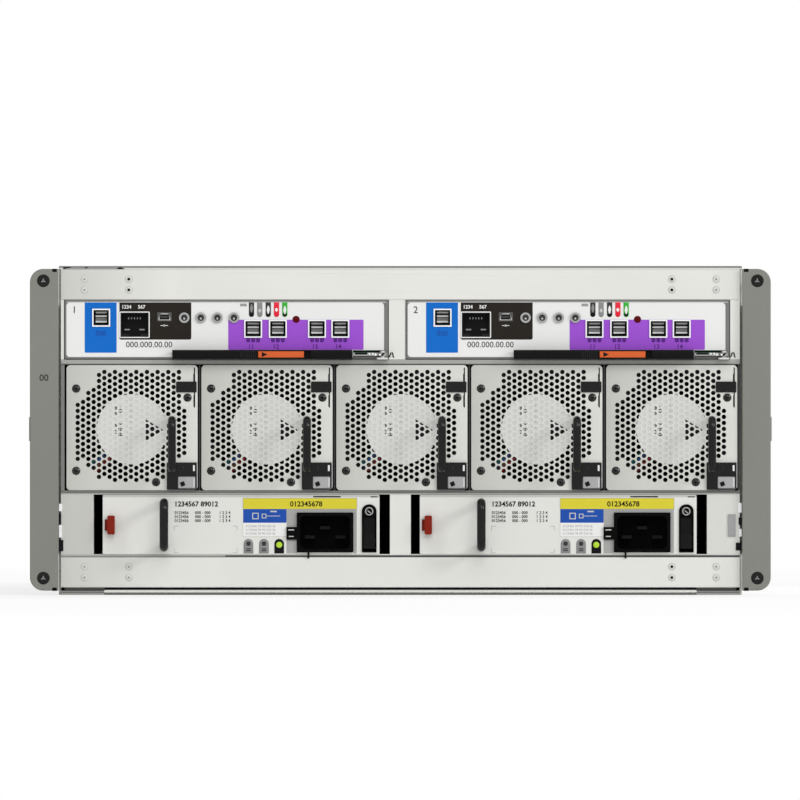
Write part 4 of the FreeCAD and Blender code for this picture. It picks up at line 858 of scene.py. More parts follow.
labelProfile = (*slab(0.0, 0.1), (0.03, 0.13))
supplyLooks = {
    "yellowEdge": (0.25, 0.25, 0.2, 0.25),
    "whiteEdge": (0.25, 0.25, 0.25, 0.0),
    "greyPanel": (119.7, 165.5, 0.5, 29.3),
    "inlet": (126.4, 163.3, 27.2),
    "rowLevels": (26.2, 23.6, 21.0),
    "rowColumns": (("0123456", 46.8), ("000 - 000", 60.1), ("1 2 3 4", 75.8)),
    "rowHeight": (1.9, 0.04),
    "cornerBrackets": (46.5, 87.7, 0.8, 18.4),
    "bracketArm": (3.0, 0.25),
    "icons": ((99.5, 24.9, 2.1, 1.5), (105.1, 24.9, 1.5, 1.0)),
    "lensLefts": (91.8, 101.9, 111.8),
    "lensFinishes": ("lensGrey", "lensGrey", "inkBlack"),
    "lensWidth": 6.3,
    "lensSpan": (0.5, 10.0),
    "lensProfile": (*slab(0.0, 0.15), (0.3, 0.35), (1.0, 0.42)),
    "lensBars": ((1.6, 4.7, 2.0, 2.6), (1.6, 4.7, 3.2, 3.8)),
    "lensSpot": (6.9, 1.5),
    "lamp": (114.95, 6.1, 2.0),
    "lampProfile": (*slab(0.3, 0.5), (0.4, 0.7), (1.0, 0.8)),
    "switchRing": (173.6, 28.0, 2.7, 2.0),
    "switchBar": ((-1.2, 0.2), (0.9, -1.5), (1.3, -1.0), (-0.8, 0.7)),
    "switchPlane": 0.8,
    "tieTail": (134.0, -2.6, 2.0, 0.7),
    "tieLean": (1.6, 0.8),
}
supplyPlates = {  # piece: (finish, spots, corner radius, profile, ahead)
    "yellowLabel": ("yellowLabel", ((91.5, 165.5, 29.5, 36.4),), 0.3, labelProfile, 0.0),
    "blueLabel": ("royalLabel", ((91.5, 119.7, 20.5, 29.4),), 0.3, labelProfile, 0.0),
    "whiteLabel": ("whiteLabel", ((91.5, 119.7, 11.6, 20.5),), 0.3, labelProfile, 0.0),
    "iconBars": ("inkPale", ((106.6, 115.6, 24.7, 25.1), (109.2, 113.4, 27.4, 28.3)), 0.15,
                 slab(0.1, 0.18), 0.0),
    "hookLines": ("inkPale", ((120.9, 124.7, 15.5, 16.2), (121.2, 124.4, 11.3, 11.9)), 0.1,
                  slab(-0.4, 0.1), 1.5),
    # painted shade: black plates in the slots along the face's top
    "topSlotShades": ("inkBlack", ((137.2, 155.1, 37.0, 37.9), (174.5, 179.2, 37.0, 37.7)), 0.1,
                 slab(0.0, 0.04), 0.0),
}
supplyDigits = {  # piece: (finish, lines, height, lift, boldness)
    "heading": ("inkBlack", (("1234567 89012", 46.6, 31.2),), 3.3, 0.1, 0.12),
    "labelDigits": ("inkBlack", (("012345678", 122.0, 31.2),), 3.4, 0.16, 0.12),
    "noteDigits": ("inkGrey", [("0123456 78 901234 56", 93.2, level) for level in (17.6, 15.2, 12.8)],
                   1.5, 0.16, 0.0),
}


def supplyLabels(body, at):
    looks = supplyLooks
    platesFrom(supplyPlates, body, at)
    for name, kind, hole in (("yellow", "inkGrey", 0.0), ("white", "inkPale", 1.0)):
        x0, x1, z0, z1 = supplyPlates[name + "Label"][1][0]
        left, right, below, above = looks[name + "Edge"]
        cutPlatePiece(body + "_" + name + "Edge", body, kind, (x0 - left, x1 + right, z0 - below, z1 + above),
                      [(x0, x1, z0, z1 + hole)], at)
    x0, x1, z1 = looks["inlet"]
    cutPlatePiece(body + "_greyPanel", body, "greyMoulding", looks["greyPanel"],
                  [(x0, x1, looks["greyPanel"][2], z1)], at, 0.08)
    digitsFrom(supplyDigits, body, at)
    rows = [(text, x, level) for level in looks["rowLevels"] for text, x in looks["rowColumns"]]
    height, bold = looks["rowHeight"]
    digitPiece(body + "_ratings", body, "inkBlack", rows, height, at, bold=bold)


def supplyMarks(body, at):
    looks = supplyLooks
    x0, x1, z0, z1 = looks["cornerBrackets"]
    arm, thick = looks["bracketArm"]
    strips = []
    for wide, high in ((arm, thick), (thick, arm)):
        for across in ((x0, x0 + wide), (x1 - wide, x1)):
            strips += [(*across, z0, z0 + high), (*across, z1 - high, z1)]
    platePiece(body + "_brackets", body, "inkGrey", strips, at)
    for index, (x, z, half, hole) in enumerate(looks["icons"]):
        cutPlatePiece(body + "_icon_" + str(index + 1), body, "inkPale", square(x, z, half),
                      [square(x, z, hole)], at, 0.18)
    for index, (x, kind) in enumerate(zip(looks["lensLefts"], looks["lensFinishes"])):
        lens = (x, x + looks["lensWidth"], *looks["lensSpan"], "arch")
        platePiece(body + "_lens_" + str(index + 1), body, kind, [lens], at, profile=looks["lensProfile"],
                   smooth=True)
        bars = [(x + left, x + right, bottom, top) for left, right, bottom, top in looks["lensBars"]]
        platePiece(body + "_lensBars_" + str(index + 1), body, "inkBlack", bars, at, 0.2, slab(0.38, 0.5))
    platePiece(body + "_lamp", body, "lampGreen", [looks["lamp"]], at, profile=looks["lampProfile"],
               smooth=True)
    spots = [(x + looks["lensWidth"] / 2, *looks["lensSpot"]) for x in looks["lensLefts"][:2]]
    platePiece(body + "_lensSpots", body, "lensDark", spots, at, profile=slab(0.38, 0.5))
    ring = looks["switchRing"]
    ringPiece(body + "_switchRing", body, "greyMoulding", [ring], at, ahead=looks["switchPlane"])
    polygonPiece(body + "_switchBar", body, "greyMoulding", [movedGlyph(looks["switchBar"], *ring[:2])], at,
                 ahead=looks["switchPlane"])
    x, low, high, radius = looks["tieTail"]
    lean, swing = looks["tieLean"]
    height = np.linspace(high, low, 10)
    forward = lean - swing * np.cos((height - low) / (high - low) * np.pi)  # leans forward as it hangs
    path = np.stack([np.full(10, x), faceMm - forward, height], axis=1)
    tubePiece(body + "_tieTail", body, "blackMoulding", path, radius, at, 8)


# Fan modules: screws, motor label behind the grille, guide marks and the fan's lead

fanLooks = {
    "screws": ((6.25, 66.3), (78.8, 60.4), (6.25, 12.7), (58.3, 5.3)),
    "faceScrew": (2.8, -0.25, 1.2, (1.35, 0.3)),  # radius, ahead, lift, half cross
    "guideScrews": ((75.2, 14.5),),
    "guideScrew": (1.8, 0.9, 0.5, (0.9, 0.25)),
    "hubCentre": (42.7, 39.8),
    "labelRadius": 22.9,
    "labelPlane": 0.42,
    "labelArrow": ((51.6, 32.2), (63.0, 39.3), (51.6, 46.3)),
    "buttonPlane": 2.6,
    "buttonMark": (82.8, 83.3, 2.2, 8.0),
    "buttonGlyph": ((74.94, 2.3), (77.6, 3.44), (76.46, 6.1), (73.8, 4.96)),
    "leadColours": ("wireGreen", "wireBlue", "wireBrown", "wireRed"),
    "leadRadius": 1.0,
    "leadRun": (22.0, 37.5),
    "leadPitch": 2.1,
    "leadDepth": 2.8,
    "leadWave": (0.4, 9.0),
    "leadBend": (0.8, 45.0),
}
fanPlates = {  # piece: (finish, spots, corner radius, profile, ahead)
    # painted shade: black plates in the slots at the face's right edge
    "edgeSlotShades": ("inkBlack", ((82.6, 83.2, 70.9, 76.0), (82.7, 83.1, 54.6, 62.0)), 0.1,
                  slab(0.0, 0.05), 0.0),
    "guideMark": ("whiteLabel", ((82.4, 83.6, 12.6, 16.4),), 0.2, plateProfile, 1.2),
}
fanDigits = {  # piece: (finish, lines, height, lift, boldness)
    "labelDigits": ("inkBlack", [("0123", 31.6, level) for level in (35.6, 38.6, 41.6, 49.4, 52.6)],
                    2.0, 0.16, 0.12),
    "labelFaintDigits": ("inkGrey", [("0 12 3", 39.2, level) for level in np.arange(23.0, 59.0, 3.5)],
                         1.3, 0.16, 0.0),
}
domeSteps = (0.0, 0.12, 0.3, 0.55, 0.8)  # shares of a screw head's radius


def screwPieces(name, body, kind, places, looks, at):
    # dome that falls off with the square of the distance from its middle, and two thin dark plates that paint
    # the shade of its cross recess
    radius, ahead, lift, (long, thin) = looks
    profile = [(0.0, -0.5)] + [(step * radius, lift * (1 - (1 - step) ** 2)) for step in domeSteps]
    outline = roundedOutline(radius, radius, radius * 0.999, 8)
    recess = slab(lift * 0.6, lift + 0.03)
    bars = [roundedOutline(wide, high, thin * 0.4, 2) for wide, high in ((long, thin), (thin, long))]
    heads = [sweptSolid(outline, profile, x, z, ahead) for x, z in places]
    crosses = [sweptSolid(bar, recess, x, z, ahead) for x, z in places for bar in bars]
    addPiece(name + "_heads", body, kind, heads, at, smooth=True)
    addPiece(name + "_crossShades", body, "inkBlack", crosses, at)


def fanPieces(body, at):
    looks = fanLooks
    button, proud = body + "_button", looks["buttonPlane"]
    screwPieces(body + "_faceScrews", body, "screwBlack", looks["screws"], looks["faceScrew"], at)
    screwPieces(body + "_guideScrew", body, "lensDark", looks["guideScrews"], looks["guideScrew"], at)
    platesFrom(fanPlates, body, at)
    platePiece(body + "_motorLabel", body, "labelPaper", [(*looks["hubCentre"], looks["labelRadius"])], at,
               profile=slab(0.0, 0.1), ahead=-looks["labelPlane"], steps=12)
    polygonPiece(body + "_labelArrow", body, "inkBlack", [looks["labelArrow"]], at, 0.16,
                 -looks["labelPlane"])
    digitsFrom(fanDigits, body, at, -looks["labelPlane"])
    platePiece(body + "_buttonMark", button, "whiteLabel", [looks["buttonMark"]], at, ahead=proud)
    polygonPiece(body + "_buttonGlyph", button, "inkBlack", [looks["buttonGlyph"]], at, ahead=proud)
    fanLead(body, at)


def fanLead(body, at):
    # four wires side by side: a wavy run along the strut's direction, bent back at its outer end
    looks = fanLooks
    along = np.linspace(0.0, 1.0, 24)
    (hubX, hubZ), (inner, outer) = looks["hubCentre"], looks["leadRun"]
    swing, turns = looks["leadWave"]
    bendFrom, bend = looks["leadBend"]
    reach = (inner + (outer - inner) * along) / math.sqrt(2)
    for number, colour in enumerate(looks["leadColours"]):
        shift = (number - 1.5) * looks["leadPitch"] * 0.7
        depth = looks["leadDepth"] + swing * np.sin(along * turns + number)
        depth += bend * np.clip(along - bendFrom, 0, 1) ** 1.5
        path = np.stack([hubX - reach + shift, faceMm + depth, hubZ - reach - shift], axis=1)
        tubePiece(body + "_lead_" + str(number + 1), body, colour, path, looks["leadRadius"], at)


# painted shade: every fan module darker at its left and at its top, lighter at its right; inside the motor
# label's circle one even tone
fanPaintShadeLooks = {
    "shadedSide": (0.465, 0.470, 0.430),
    "litSide": (0.690, 0.695, 0.650),
    "topSpan": (136.0, 151.0),
    "topShadeShare": 0.3,
    "hubTone": (0.655, 0.655, 0.625),
    "worn": (0.60, 0.60, 0.56),
    "firstLeft": -217.5,
    "pitch": 87.9,
}


def makeFanPaint():
    # brushed paint with painted shade, darker at the left and the top of every module: its place in the row
    # sets the shade
    looks = fanPaintShadeLooks
    material, tree, shader = newFinish("shadedFanPaint")
    shadeTint = opaque(looks["shadedSide"])
    across, _, upward = splitVector(tree, objectPlace(tree))
    along = mathNode(tree, "MULTIPLY", mathNode(tree, "SUBTRACT", across, looks["firstLeft"] * mm),
                     1 / (looks["pitch"] * mm))
    run = mathNode(tree, "FRACT", along)
    toned = mixColour(tree, mathNode(tree, "POWER", run, 0.7), shadeTint, opaque(looks["litSide"]))
    low, high = looks["topSpan"]
    rise = mathNode(tree, "DIVIDE", mathNode(tree, "SUBTRACT", upward, low * mm), (high - low) * mm, True)
    toned = mixColour(tree, mathNode(tree, "MULTIPLY", rise, looks["topShadeShare"]), toned, shadeTint)
    hubX, hubZ = fanLooks["hubCentre"]
    alongHub = mathNode(tree, "SUBTRACT", mathNode(tree, "MULTIPLY", run, looks["pitch"]), hubX)
    hubLevel = hubZ + moduleCorner("fan_1_shell")[1]
    upHub = mathNode(tree, "SUBTRACT", mathNode(tree, "MULTIPLY", upward, 1 / mm), hubLevel)
    fromHub = mathNode(tree, "SQRT", mathNode(tree, "ADD", mathNode(tree, "MULTIPLY", alongHub, alongHub),
                                              mathNode(tree, "MULTIPLY", upHub, upHub)))
    overLabel = mathNode(tree, "LESS_THAN", fromHub, fanLooks["labelRadius"])
    toned = mixColour(tree, overLabel, toned, opaque(looks["hubTone"]))
    linkSurface(tree, shader, sheetNode(tree, shader, toned, looks["worn"], 0.42, 0.1, 0.1))
    return material


# Finishes made of several parts, told apart by boxes in the node's own coordinates

def zone(box, colour, roughness=0.45, metallic=0.0, at=(0.0, 0.0), grow=0.02):
    # box: (x low, x high, depth low, depth high, z low, z high) from the corner, the depths behind the face;
    # grown a little so that faces on its edge count as inside
    x0, x1, y0, y1, z0, z1 = box
    low = np.array([x0 + at[0], y0 + faceMm, z0 + at[1]]) - grow
    high = np.array([x1 + at[0], y1 + faceMm, z1 + at[1]]) + grow
    return low * mm, high * mm, colour, roughness, metallic


def boxedFinish(name, base, zones, ior=1.5, tone=None):
    # later zones lie over the earlier ones; tone, where given, makes the base colour instead of the plain one
    material, tree, shader = newFinish(name, ior=ior)
    colour, worn, roughness, metallic = base
    sheet = sheetNode(tree, shader, tone(tree) if tone else opaque(colour), worn, roughness, 0.4, 0.15)
    shader.inputs["Metallic"].default_value = metallic
    colourSocket, roughSocket, metalSocket = sheet.outputs["Color"], sheet.outputs["Roughness"], metallic
    speck = mathNode(tree, "MULTIPLY", sheet.outputs["Height"], 0.25)
    for low, high, colour, roughness, zoneMetal in zones:
        inside = addNode(tree, "ShaderNodeGroup", {"node_tree": insideBox}, {"Low": low, "High": high})
        mask = inside.outputs["Mask"]
        toned = mixColour(tree, speck, opaque(colour), opaque([part * 0.72 for part in colour]))
        colourSocket = mixColour(tree, mask, colourSocket, toned)
        roughSocket = mixValue(tree, mask, roughSocket, roughness)
        metalSocket = mixValue(tree, mask, metalSocket, zoneMetal)
    tree.links.new(colourSocket, shader.inputs["Base Color"])
    tree.links.new(roughSocket, shader.inputs["Roughness"])
    if zones:
        tree.links.new(metalSocket, shader.inputs["Metallic"])
    return material


def dress(nodeName, material):
    item = nodes[nodeName]
    for holder in item.material_slots:
        holder.material = material
    if not item.material_slots:
        item.data.materials.append(material)


zincBase = ((0.62, 0.62, 0.60), (0.46, 0.46, 0.44), 0.34, 0.8)
boardGreen = (0.018, 0.115, 0.045)
matt = (0.006, 0.006, 0.006)
caseZones = (  # box from the module's corner, colour, roughness
    ((-far, far, 0, 1.5, 0.15, far), (0.80, 0.80, 0.785), 0.4),
    # painted shade: a dark strip along the bottom edge of the face
    ((-far, far, 0, 1.5, 0, 0.75), (0.10, 0.10, 0.095), 0.4),
)
boardBase = ((0.52, 0.52, 0.50), (0.4, 0.4, 0.39), 0.35, 0.6)
boardZones = (  # box from the module's corner, colour, roughness, metallic
    ((3, 208, 4, far, 3.5, 5.1), boardGreen, 0.35, 0.0),
    ((89, 151, 89, 161, 5.2, far), (0.05, 0.05, 0.052), 0.4, 0.6),
    ((0, 211, 315, far, 5.2, far), matt, 0.5, 0.0),
    ((35, 56, -1, 19, 12, 32), (0.012, 0.012, 0.012), 0.4, 0.0),
    ((60, 70, -1, 9, 24, 31), (0.10, 0.10, 0.10), 0.3, 0.2),
    ((74, 114, -1, 10, 22, 31), (0.04, 0.04, 0.04), 0.3, 0.2),
)
portZones = (  # half width, depth from, half height, colour
    (5.35, -1, 5.35, matt),
    (3.9, 3.9, 3.3, (0.05, 0.045, 0.04)),
)
leverBase = ((0.33, 0.33, 0.32), (0.22, 0.22, 0.21), 0.28, 0.9)
leverGrip = (69, 187.4, -12, 0, -far, far)
supplyPaint, supplyTopShade = (0.735, 0.735, 0.70), (0.52, 0.52, 0.49)
inletBase = ((0.003, 0.003, 0.003), (0.005, 0.005, 0.005), 0.4, 0.0)
inletThroat = (-far, far, 3, 15.4, 35, 46)


def dressModules():
    for letter in "ab":
        module, supply = "io_" + letter, "psu_" + letter
        at = moduleCorner(module + "_case")
        zones = [zone(*looks, at=at) for looks in caseZones]
        dress(module + "_case", boxedFinish("ioCase_" + letter, zincBase, zones))
        zones = [zone(*looks, at) for looks in boardZones]
        for x, z in ioPortPlaces():
            for halfWide, depth, halfHigh, colour in portZones:
                box = (x - halfWide, x + halfWide, depth, 20, z - halfHigh, z + halfHigh)
                zones.append(zone(box, colour, 0.5, at=at))
        dress(module + "_board", boxedFinish("ioBoard_" + letter, boardBase, zones, ior=1.2))
        grip = zone(leverGrip, matt, 0.42, at=at)
        dress(module + "_lever", boxedFinish("ioLever_" + letter, leverBase, [grip], ior=1.15))
        dress(module + "_catch", finishes["orangeMoulding"])
        top = cornersOf(supply + "_case")[1][2]
        dress(supply + "_case", boxedFinish("supplyCase_" + letter, zincBase, [
            zone((-far, far, 0, 3, -far, far), supplyPaint, 0.4),
            # painted shade along the face's top edge, under the shelf
            zone((-far, far, 0, 3, top - 1.6, far), supplyTopShade, 0.4)]))
        dress(supply + "_inlet", boxedFinish("supplyInlet_" + letter, inletBase, [
            zone(inletThroat, (0.012, 0.011, 0.010), 0.3, 0.1)], ior=1.08))
        dress(supply + "_handle", finishes["glossBlack"])
        dress(supply + "_latch", finishes["redMoulding"])
        dress(supply + "_switch", finishes["blackMoulding"])


boardLooks = {
    "traceRuns": ((0.0, 190.0), (math.pi / 2, 230.0)),  # turn, scale of the traces
    "traceColour": (0.04, 0.20, 0.08, 1.0),
    "padColour": (0.45, 0.42, 0.33, 1.0),
    "fieldScale": 38.0,
    "padScale": 160.0,
}


def makeBoardFinish():
    # circuit board: solder mask crossed by copper traces from two turned wave patterns, with speckled pads
    looks = boardLooks
    material, tree, shader = newFinish("boardFinish")
    place = objectPlace(tree)
    masks = []
    for turn, scale in looks["traceRuns"]:
        mapping = addNode(tree, "ShaderNodeMapping", None, {"Vector": place, "Rotation": (0.0, turn, 0.0)})
        turned = mapping.outputs["Vector"]
        wave = addNode(tree, "ShaderNodeTexWave", None, {"Vector": turned, "Scale": scale, "Distortion": 0.0})
        cells = addNode(tree, "ShaderNodeTexVoronoi", {"feature": "F1", "distance": "CHEBYCHEV"},
                        {"Vector": turned, "Scale": looks["fieldScale"]})
        picked = mathNode(tree, "GREATER_THAN", cells.outputs["Color"], 0.62)
        line = mathNode(tree, "GREATER_THAN", wave.outputs["Fac"], 0.8)
        masks.append(mathNode(tree, "MULTIPLY", picked, line))
    traces = mathNode(tree, "MAXIMUM", *masks)
    pads = addNode(tree, "ShaderNodeTexVoronoi", None, {"Vector": place, "Scale": looks["padScale"]})
    pad = mathNode(tree, "LESS_THAN", pads.outputs["Distance"], 0.16)
    base = mixColour(tree, traces, opaque(boardGreen), looks["traceColour"])
    tree.links.new(mixColour(tree, pad, base, looks["padColour"]), shader.inputs["Base Color"])
    rough = mathNode(tree, "SUBTRACT", 0.42, mathNode(tree, "MULTIPLY", pad, 0.15))
    tree.links.new(rough, shader.inputs["Roughness"])
    bumpFrom(tree, shader, mathNode(tree, "ADD", traces, pad), 0.3, 0.00005)
    return material


driveLooks = {
    "rowPitch": 160.0,
    "metal": (0.52, 0.53, 0.54, 1.0),
    "worn": (0.36, 0.37, 0.38),
    "labelSpan": (0.08, 0.55),  # share of the pitch that the label takes
    "paper": (0.74, 0.74, 0.72, 1.0),
    "ink": (0.12, 0.12, 0.12, 1.0),
    "metallic": 0.75,
}


def makeDriveFinish():
    # die-cast drive bodies: a printed label on every drive's end, found from its place in the row of pitches
    looks = driveLooks
    material, tree, shader = newFinish("driveFinish", looks["metallic"])
    sheet = sheetNode(tree, shader, looks["metal"], looks["worn"], 0.38, 0.6, 0.3, 0.15)
    place = objectPlace(tree)
    normal = addNode(tree, "ShaderNodeNewGeometry").outputs["True Normal"]
    top = mathNode(tree, "GREATER_THAN", splitVector(tree, normal)[2], 0.9)
    start = boxOf["drawer_upper_drives"][0].y
    depth = mathNode(tree, "SUBTRACT", splitVector(tree, place)[1], start)
    rowRun = mathNode(tree, "FRACT", mathNode(tree, "MULTIPLY", depth, 1 / (looks["rowPitch"] * mm)))
    low, high = looks["labelSpan"]
    label = mathNode(tree, "MULTIPLY", mathNode(tree, "GREATER_THAN", rowRun, low),
                     mathNode(tree, "LESS_THAN", rowRun, high))
    label = mathNode(tree, "MULTIPLY", label, top)
    bars = addNode(tree, "ShaderNodeTexWave", {"bands_direction": "Y"}, {"Vector": place, "Scale": 95.0})
    ink = mathNode(tree, "GREATER_THAN", bars.outputs["Fac"], 0.75)
    paper = mixColour(tree, mathNode(tree, "MULTIPLY", ink, 0.55), looks["paper"], looks["ink"])
    metal = mathNode(tree, "MULTIPLY", mathNode(tree, "SUBTRACT", 1.0, label), looks["metallic"])
    tree.links.new(mixColour(tree, label, sheet.outputs["Color"], paper), shader.inputs["Base Color"])
    tree.links.new(metal, shader.inputs["Metallic"])
    tree.links.new(sheet.outputs["Roughness"], shader.inputs["Roughness"])
    return material


chassisBase = ((0.74, 0.74, 0.70), (0.65, 0.65, 0.61), 0.42, 0.0)
frameStrips = {  # node: (x low, x high, depth, z low, z high, colour) of the strips along its front edges
    # painted shade: near black on the frame in the fan row's bays, grey on its left post there
    "bay_frame": ((-far, far, 60.0, 68.4, 149.9, (0.015, 0.015, 0.015)),
                  (-far, -217.9, 3.0, 68.4, 149.9, (0.18, 0.18, 0.17)),
                  # painted shade: the frame beside the supplies darker towards both ends
                  (-far, -150.0, 3.0, 3.0, 65.4, (0.53, 0.53, 0.50)),
                  (150.0, far, 3.0, 3.0, 65.4, (0.655, 0.655, 0.62)),
                  # painted shade on the shelf edges between the rows and a dark line at the upper shelf's
                  # foot, with a lighter line at the lower shelf's foot
                  (-far, far, 3.0, 65.4, 68.3, (0.13, 0.13, 0.12)),
                  (-far, far, 3.0, 65.4, 66.0, (0.55, 0.55, 0.52)),
                  (-far, far, 3.0, 150.0, 153.4, (0.345, 0.345, 0.325)),
                  (-far, far, 3.0, 149.9, 150.6, (0.06, 0.06, 0.06)),
                  (-far, -114.0, 6.0, 24.8, 25.9, (0.30, 0.30, 0.29)),
                  (-114.0, far, 6.0, 24.8, 25.9, (0.03, 0.03, 0.03))),
    # painted shade on the cover's front edge
    "top_cover": ((-far, far, 1.5, 213.0, 214.4, (0.21, 0.21, 0.20)),),
    # a lighter band on the pan's front; painted shade in the seam above it, along its lower edge and in grey
    # and black wedges at both corners
    "chassis_pan": ((-far, far, 6.0, 1.3, 3.1, (0.80, 0.80, 0.76)),
                    (-far, far, 6.0, 3.05, 3.8, (0.05, 0.05, 0.05)),
                    (-far, far, 6.0, -0.1, 1.3, (0.06, 0.06, 0.06)),
                    (-far, -193.0, 6.0, -0.1, 2.6, (0.27, 0.27, 0.26)),
                    (193.0, far, 6.0, -0.1, 2.6, (0.27, 0.27, 0.26)),
                    (-far, -193.0, 6.0, 2.6, 4.6, (0.02, 0.02, 0.02)),
                    (193.0, far, 6.0, 2.6, 4.6, (0.02, 0.02, 0.02))),
    # painted shade: the seam under the supplies and black wedges at both ends
    "beam_lower": ((-far, far, 2.0, 24.45, 25.0, (0.16, 0.16, 0.15)),
                   (-far, -191.0, 12.0, 2.9, 4.7, (0.02, 0.02, 0.02)),
                   (191.0, far, 12.0, 2.9, 4.7, (0.02, 0.02, 0.02))),
    "beam_upper": (),
}
# painted shade at the beams' ends: the colours there and the runs over which they fade
beamEndShade = {
    "leftEnd": (0.52, 0.52, 0.49),
    "rightEnd": (0.655, 0.655, 0.62),
    "leftRun": 72.0,
    "rightRun": 22.0,
    "half": 222.0,
}


def shadeBeamEnds(tree):
    # painted shade: the beams grow darker towards both ends, over a long run at the left and a short one at
    # the right
    looks = beamEndShade
    half = looks["half"] * mm
    across = splitVector(tree, objectPlace(tree))[0]
    fromLeft = mathNode(tree, "DIVIDE", mathNode(tree, "ADD", across, half), looks["leftRun"] * mm, True)
    toRight = mathNode(tree, "SUBTRACT", half, across)
    fromRight = mathNode(tree, "DIVIDE", toRight, looks["rightRun"] * mm, True)
    toned = mixColour(tree, fromLeft, opaque(looks["leftEnd"]), opaque(chassisBase[0]))
    return mixColour(tree, fromRight, opaque(looks["rightEnd"]), toned)


def dressFrame():
    for name, strips in frameStrips.items():
        zones = [zone((left, right, -2, depth, low, high), colour)
                 for left, right, depth, low, high, colour in strips]
        tone = shadeBeamEnds if name.startswith("beam") else None
        dress(name, boxedFinish(name + "Paint", chassisBase, zones, tone=tone))
    board = makeBoardFinish()
    dress("fan_board", board)
    dress("midplane", board)
    dress("drawer_rails", finishes["zincPlate"])
    dress("ear_left", finishes["earPaint"])
    dress("ear_right", finishes["earPaint"])
    dress("rack_screws", finishes["blackOxide"])
    drives = makeDriveFinish()
    for drawer in ("drawer_lower", "drawer_upper"):
        dress(drawer + "_tray", finishes["zincPlate"])
        dress(drawer + "_drives", drives)
        dress(drawer + "_fascia", finishes["blackMoulding"])


shellLooks = {
    "wall": 0.95,
    "throatDepth": (1.1, 60),
    # near black behind the grille: the fan frame's own black, and painted shade on the shell's inner walls
    "throatColour": (0.005, 0.005, 0.006),
    "plugBox": (40, 125, 9.2),  # from the left, depth, height
    "plugColour": (0.010, 0.010, 0.010),
}


def dressFans():
    looks = shellLooks
    shadedFanPaint = makeFanPaint()
    wall = looks["wall"]
    plugLeft, plugDepth, plugHeight = looks["plugBox"]
    for index in range(1, 6):
        fan = "fan_" + str(index) + "_"
        low, high = cornersOf(fan + "shell")
        throat = (low[0] + wall, high[0] - wall, *looks["throatDepth"], low[2] + wall, high[2] - wall)
        plug = (low[0] + plugLeft, high[0], plugDepth, far, low[2], low[2] + plugHeight)
        dress(fan + "shell", boxedFinish("fanShell_" + str(index), zincBase, [
            zone(throat, looks["throatColour"], 0.5), zone(plug, looks["plugColour"], 0.5)], ior=1.15))
        dress(fan + "grille", shadedFanPaint)
        dress(fan + "rotor", finishes["rotorMoulding"])
        dress(fan + "handle", finishes["glossBlack"])
        dress(fan + "latch", finishes["buttonGrey"])


dressFrame()
dressFans()
dressModules()
print("CAD nodes dressed")

chassisFixings()
for letter in "ab":
    module = "io_" + letter
    corner = moduleCorner(module + "_case")
    ioLabels(module, corner)
    ioPorts(module, corner)
    ioSmallParts(module, corner)
    ioLettering(letter, module, corner)
    ioLeverMarks(module, corner)
print("input/output details made")
for letter in "ab":
    module = "psu_" + letter
    corner = moduleCorner(module + "_case")
    supplyLabels(module, corner)
    supplyMarks(module, corner)
print("power supply details made")
for index in range(1, 6):
    module = "fan_" + str(index)
    fanPieces(module, moduleCorner(module + "_shell"))
print("fan details made")


# Studio: pale floor, white surroundings, three soft lamps and a long lens set square to the face

studioLooks = {
    "floorHalf": 4000.0,
    "floorShades": ((0.90, 0.90, 0.90, 1.0), (0.93, 0.93, 0.93, 1.0)),
    "floorLift": 0.65,
    "surroundings": 0.54,
    "whiteFrom": 0.9,
    "whiteRun": 1.6,
    "lamps": (("keyLamp", (1.5, -12.0, 7.5), 8.0, 592.0), ("sideLamp", (9.0, -6.0, 4.5), 2.5, 393.0),
              ("backLamp", (2.0, 9.0, 7.0), 6.0, 380.0)),
    "lampTarget": (0.0, 0.0, 0.1),
    "cameraDistance": 18.0,
    "cameraHeight": 0.12698,
    "cameraAcross": -0.00023,
    "pictureWidth": 0.5212,
    "sensorWidth": 36.0,
}
white = (1.0, 1.0, 1.0, 1.0)


def seenRays(tree):
    # 1 on rays that show a thing to the camera, straight or through gloss and glass, else 0
    path = addNode(tree, "ShaderNodeLightPath")
    straight = mathNode(tree, "MAXIMUM", path.outputs["Is Camera Ray"], path.outputs["Is Glossy Ray"])
    return mathNode(tree, "MAXIMUM", straight, path.outputs["Is Transmission Ray"])


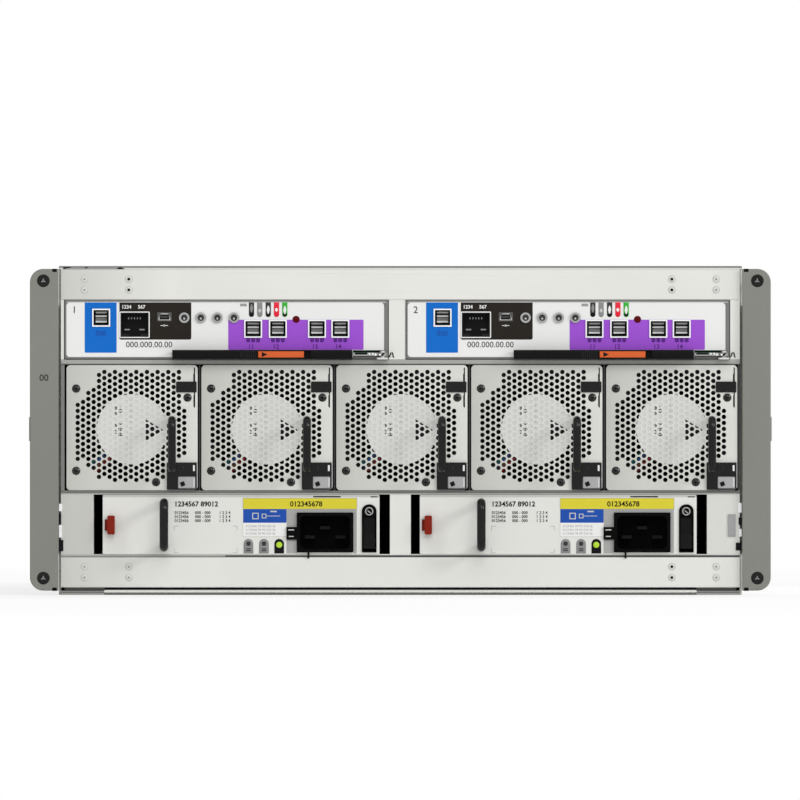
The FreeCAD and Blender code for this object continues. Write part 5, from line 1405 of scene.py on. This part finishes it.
def makeFloor():
    # flat grid; seen directly or in gloss it turns to the white of the surroundings away from the object
    looks = studioLooks
    line = np.linspace(-looks["floorHalf"], looks["floorHalf"], 5)
    gridX, gridY = np.meshgrid(line, line, indexing="ij")
    points = np.stack([gridX.ravel(), gridY.ravel(), np.zeros(gridX.size)], axis=1)
    count = len(line)
    first = (np.arange(count - 1)[:, None] * count + np.arange(count - 1)).ravel()
    faces = np.stack([first, first + count, first + count + 1, first + 1], axis=1).tolist()
    floor = meshObject("studioFloor", points, faces)
    material, tree, shader = newFinish("studioFloor")
    place = objectPlace(tree)
    shade = mixColour(tree, noise(tree, place, 0.6), *looks["floorShades"])
    tree.links.new(shade, shader.inputs["Base Color"])
    shader.inputs["Roughness"].default_value = 0.9
    distance = addNode(tree, "ShaderNodeVectorMath", {"operation": "LENGTH"}, {0: place}).outputs["Value"]
    beyond = mathNode(tree, "SUBTRACT", distance, looks["whiteFrom"])
    fade = mathNode(tree, "DIVIDE", beyond, looks["whiteRun"], True)
    glow = addNode(tree, "ShaderNodeEmission", None, {"Color": white, "Strength": 1.0})
    factor = mathNode(tree, "MULTIPLY", mathNode(tree, "MAXIMUM", fade, looks["floorLift"]), seenRays(tree))
    mixed = addNode(tree, "ShaderNodeMixShader", None, {0: factor, 1: shader.outputs[0], 2: glow.outputs[0]})
    tree.links.new(mixed.outputs[0], tree.nodes["Material Output"].inputs["Surface"])
    floor.data.materials.append(material)


def makeSurroundings():
    world = bpy.data.worlds.new("surroundings")
    bpy.context.scene.world = world
    world.use_nodes = True
    tree = world.node_tree
    tree.nodes.clear()
    seen, lighting = (addNode(tree, "ShaderNodeBackground", None, {"Color": white, "Strength": strength})
                      for strength in (1.0, studioLooks["surroundings"]))
    mixed = addNode(tree, "ShaderNodeMixShader", None,
                    {0: seenRays(tree), 1: lighting.outputs[0], 2: seen.outputs[0]})
    leave = addNode(tree, "ShaderNodeOutputWorld")
    tree.links.new(mixed.outputs[0], leave.inputs["Surface"])


def makeLamps():
    for name, place, size, power in studioLooks["lamps"]:
        lamp = bpy.data.lights.new(name, "AREA")
        lamp.energy = power
        lamp.size = size
        item = bpy.data.objects.new(name, lamp)
        bpy.context.scene.collection.objects.link(item)
        item.location = place
        aim = Vector(studioLooks["lampTarget"]) - Vector(place)
        item.rotation_euler = aim.to_track_quat("-Z", "Y").to_euler()


def makeCamera():
    looks = studioLooks
    camera = bpy.data.cameras.new("camera")
    item = bpy.data.objects.new("camera", camera)
    bpy.context.scene.collection.objects.link(item)
    item.location = (looks["cameraAcross"], faceY - looks["cameraDistance"], looks["cameraHeight"])
    item.rotation_euler = (math.pi / 2, 0.0, 0.0)
    camera.sensor_width = looks["sensorWidth"]
    camera.lens = looks["sensorWidth"] * looks["cameraDistance"] / looks["pictureWidth"]
    camera.clip_start = 0.5
    camera.clip_end = 100.0
    bpy.context.scene.camera = item


makeFloor()
makeSurroundings()
makeLamps()
makeCamera()
bpy.context.scene.view_settings.view_transform = "Standard"
print("studio made")
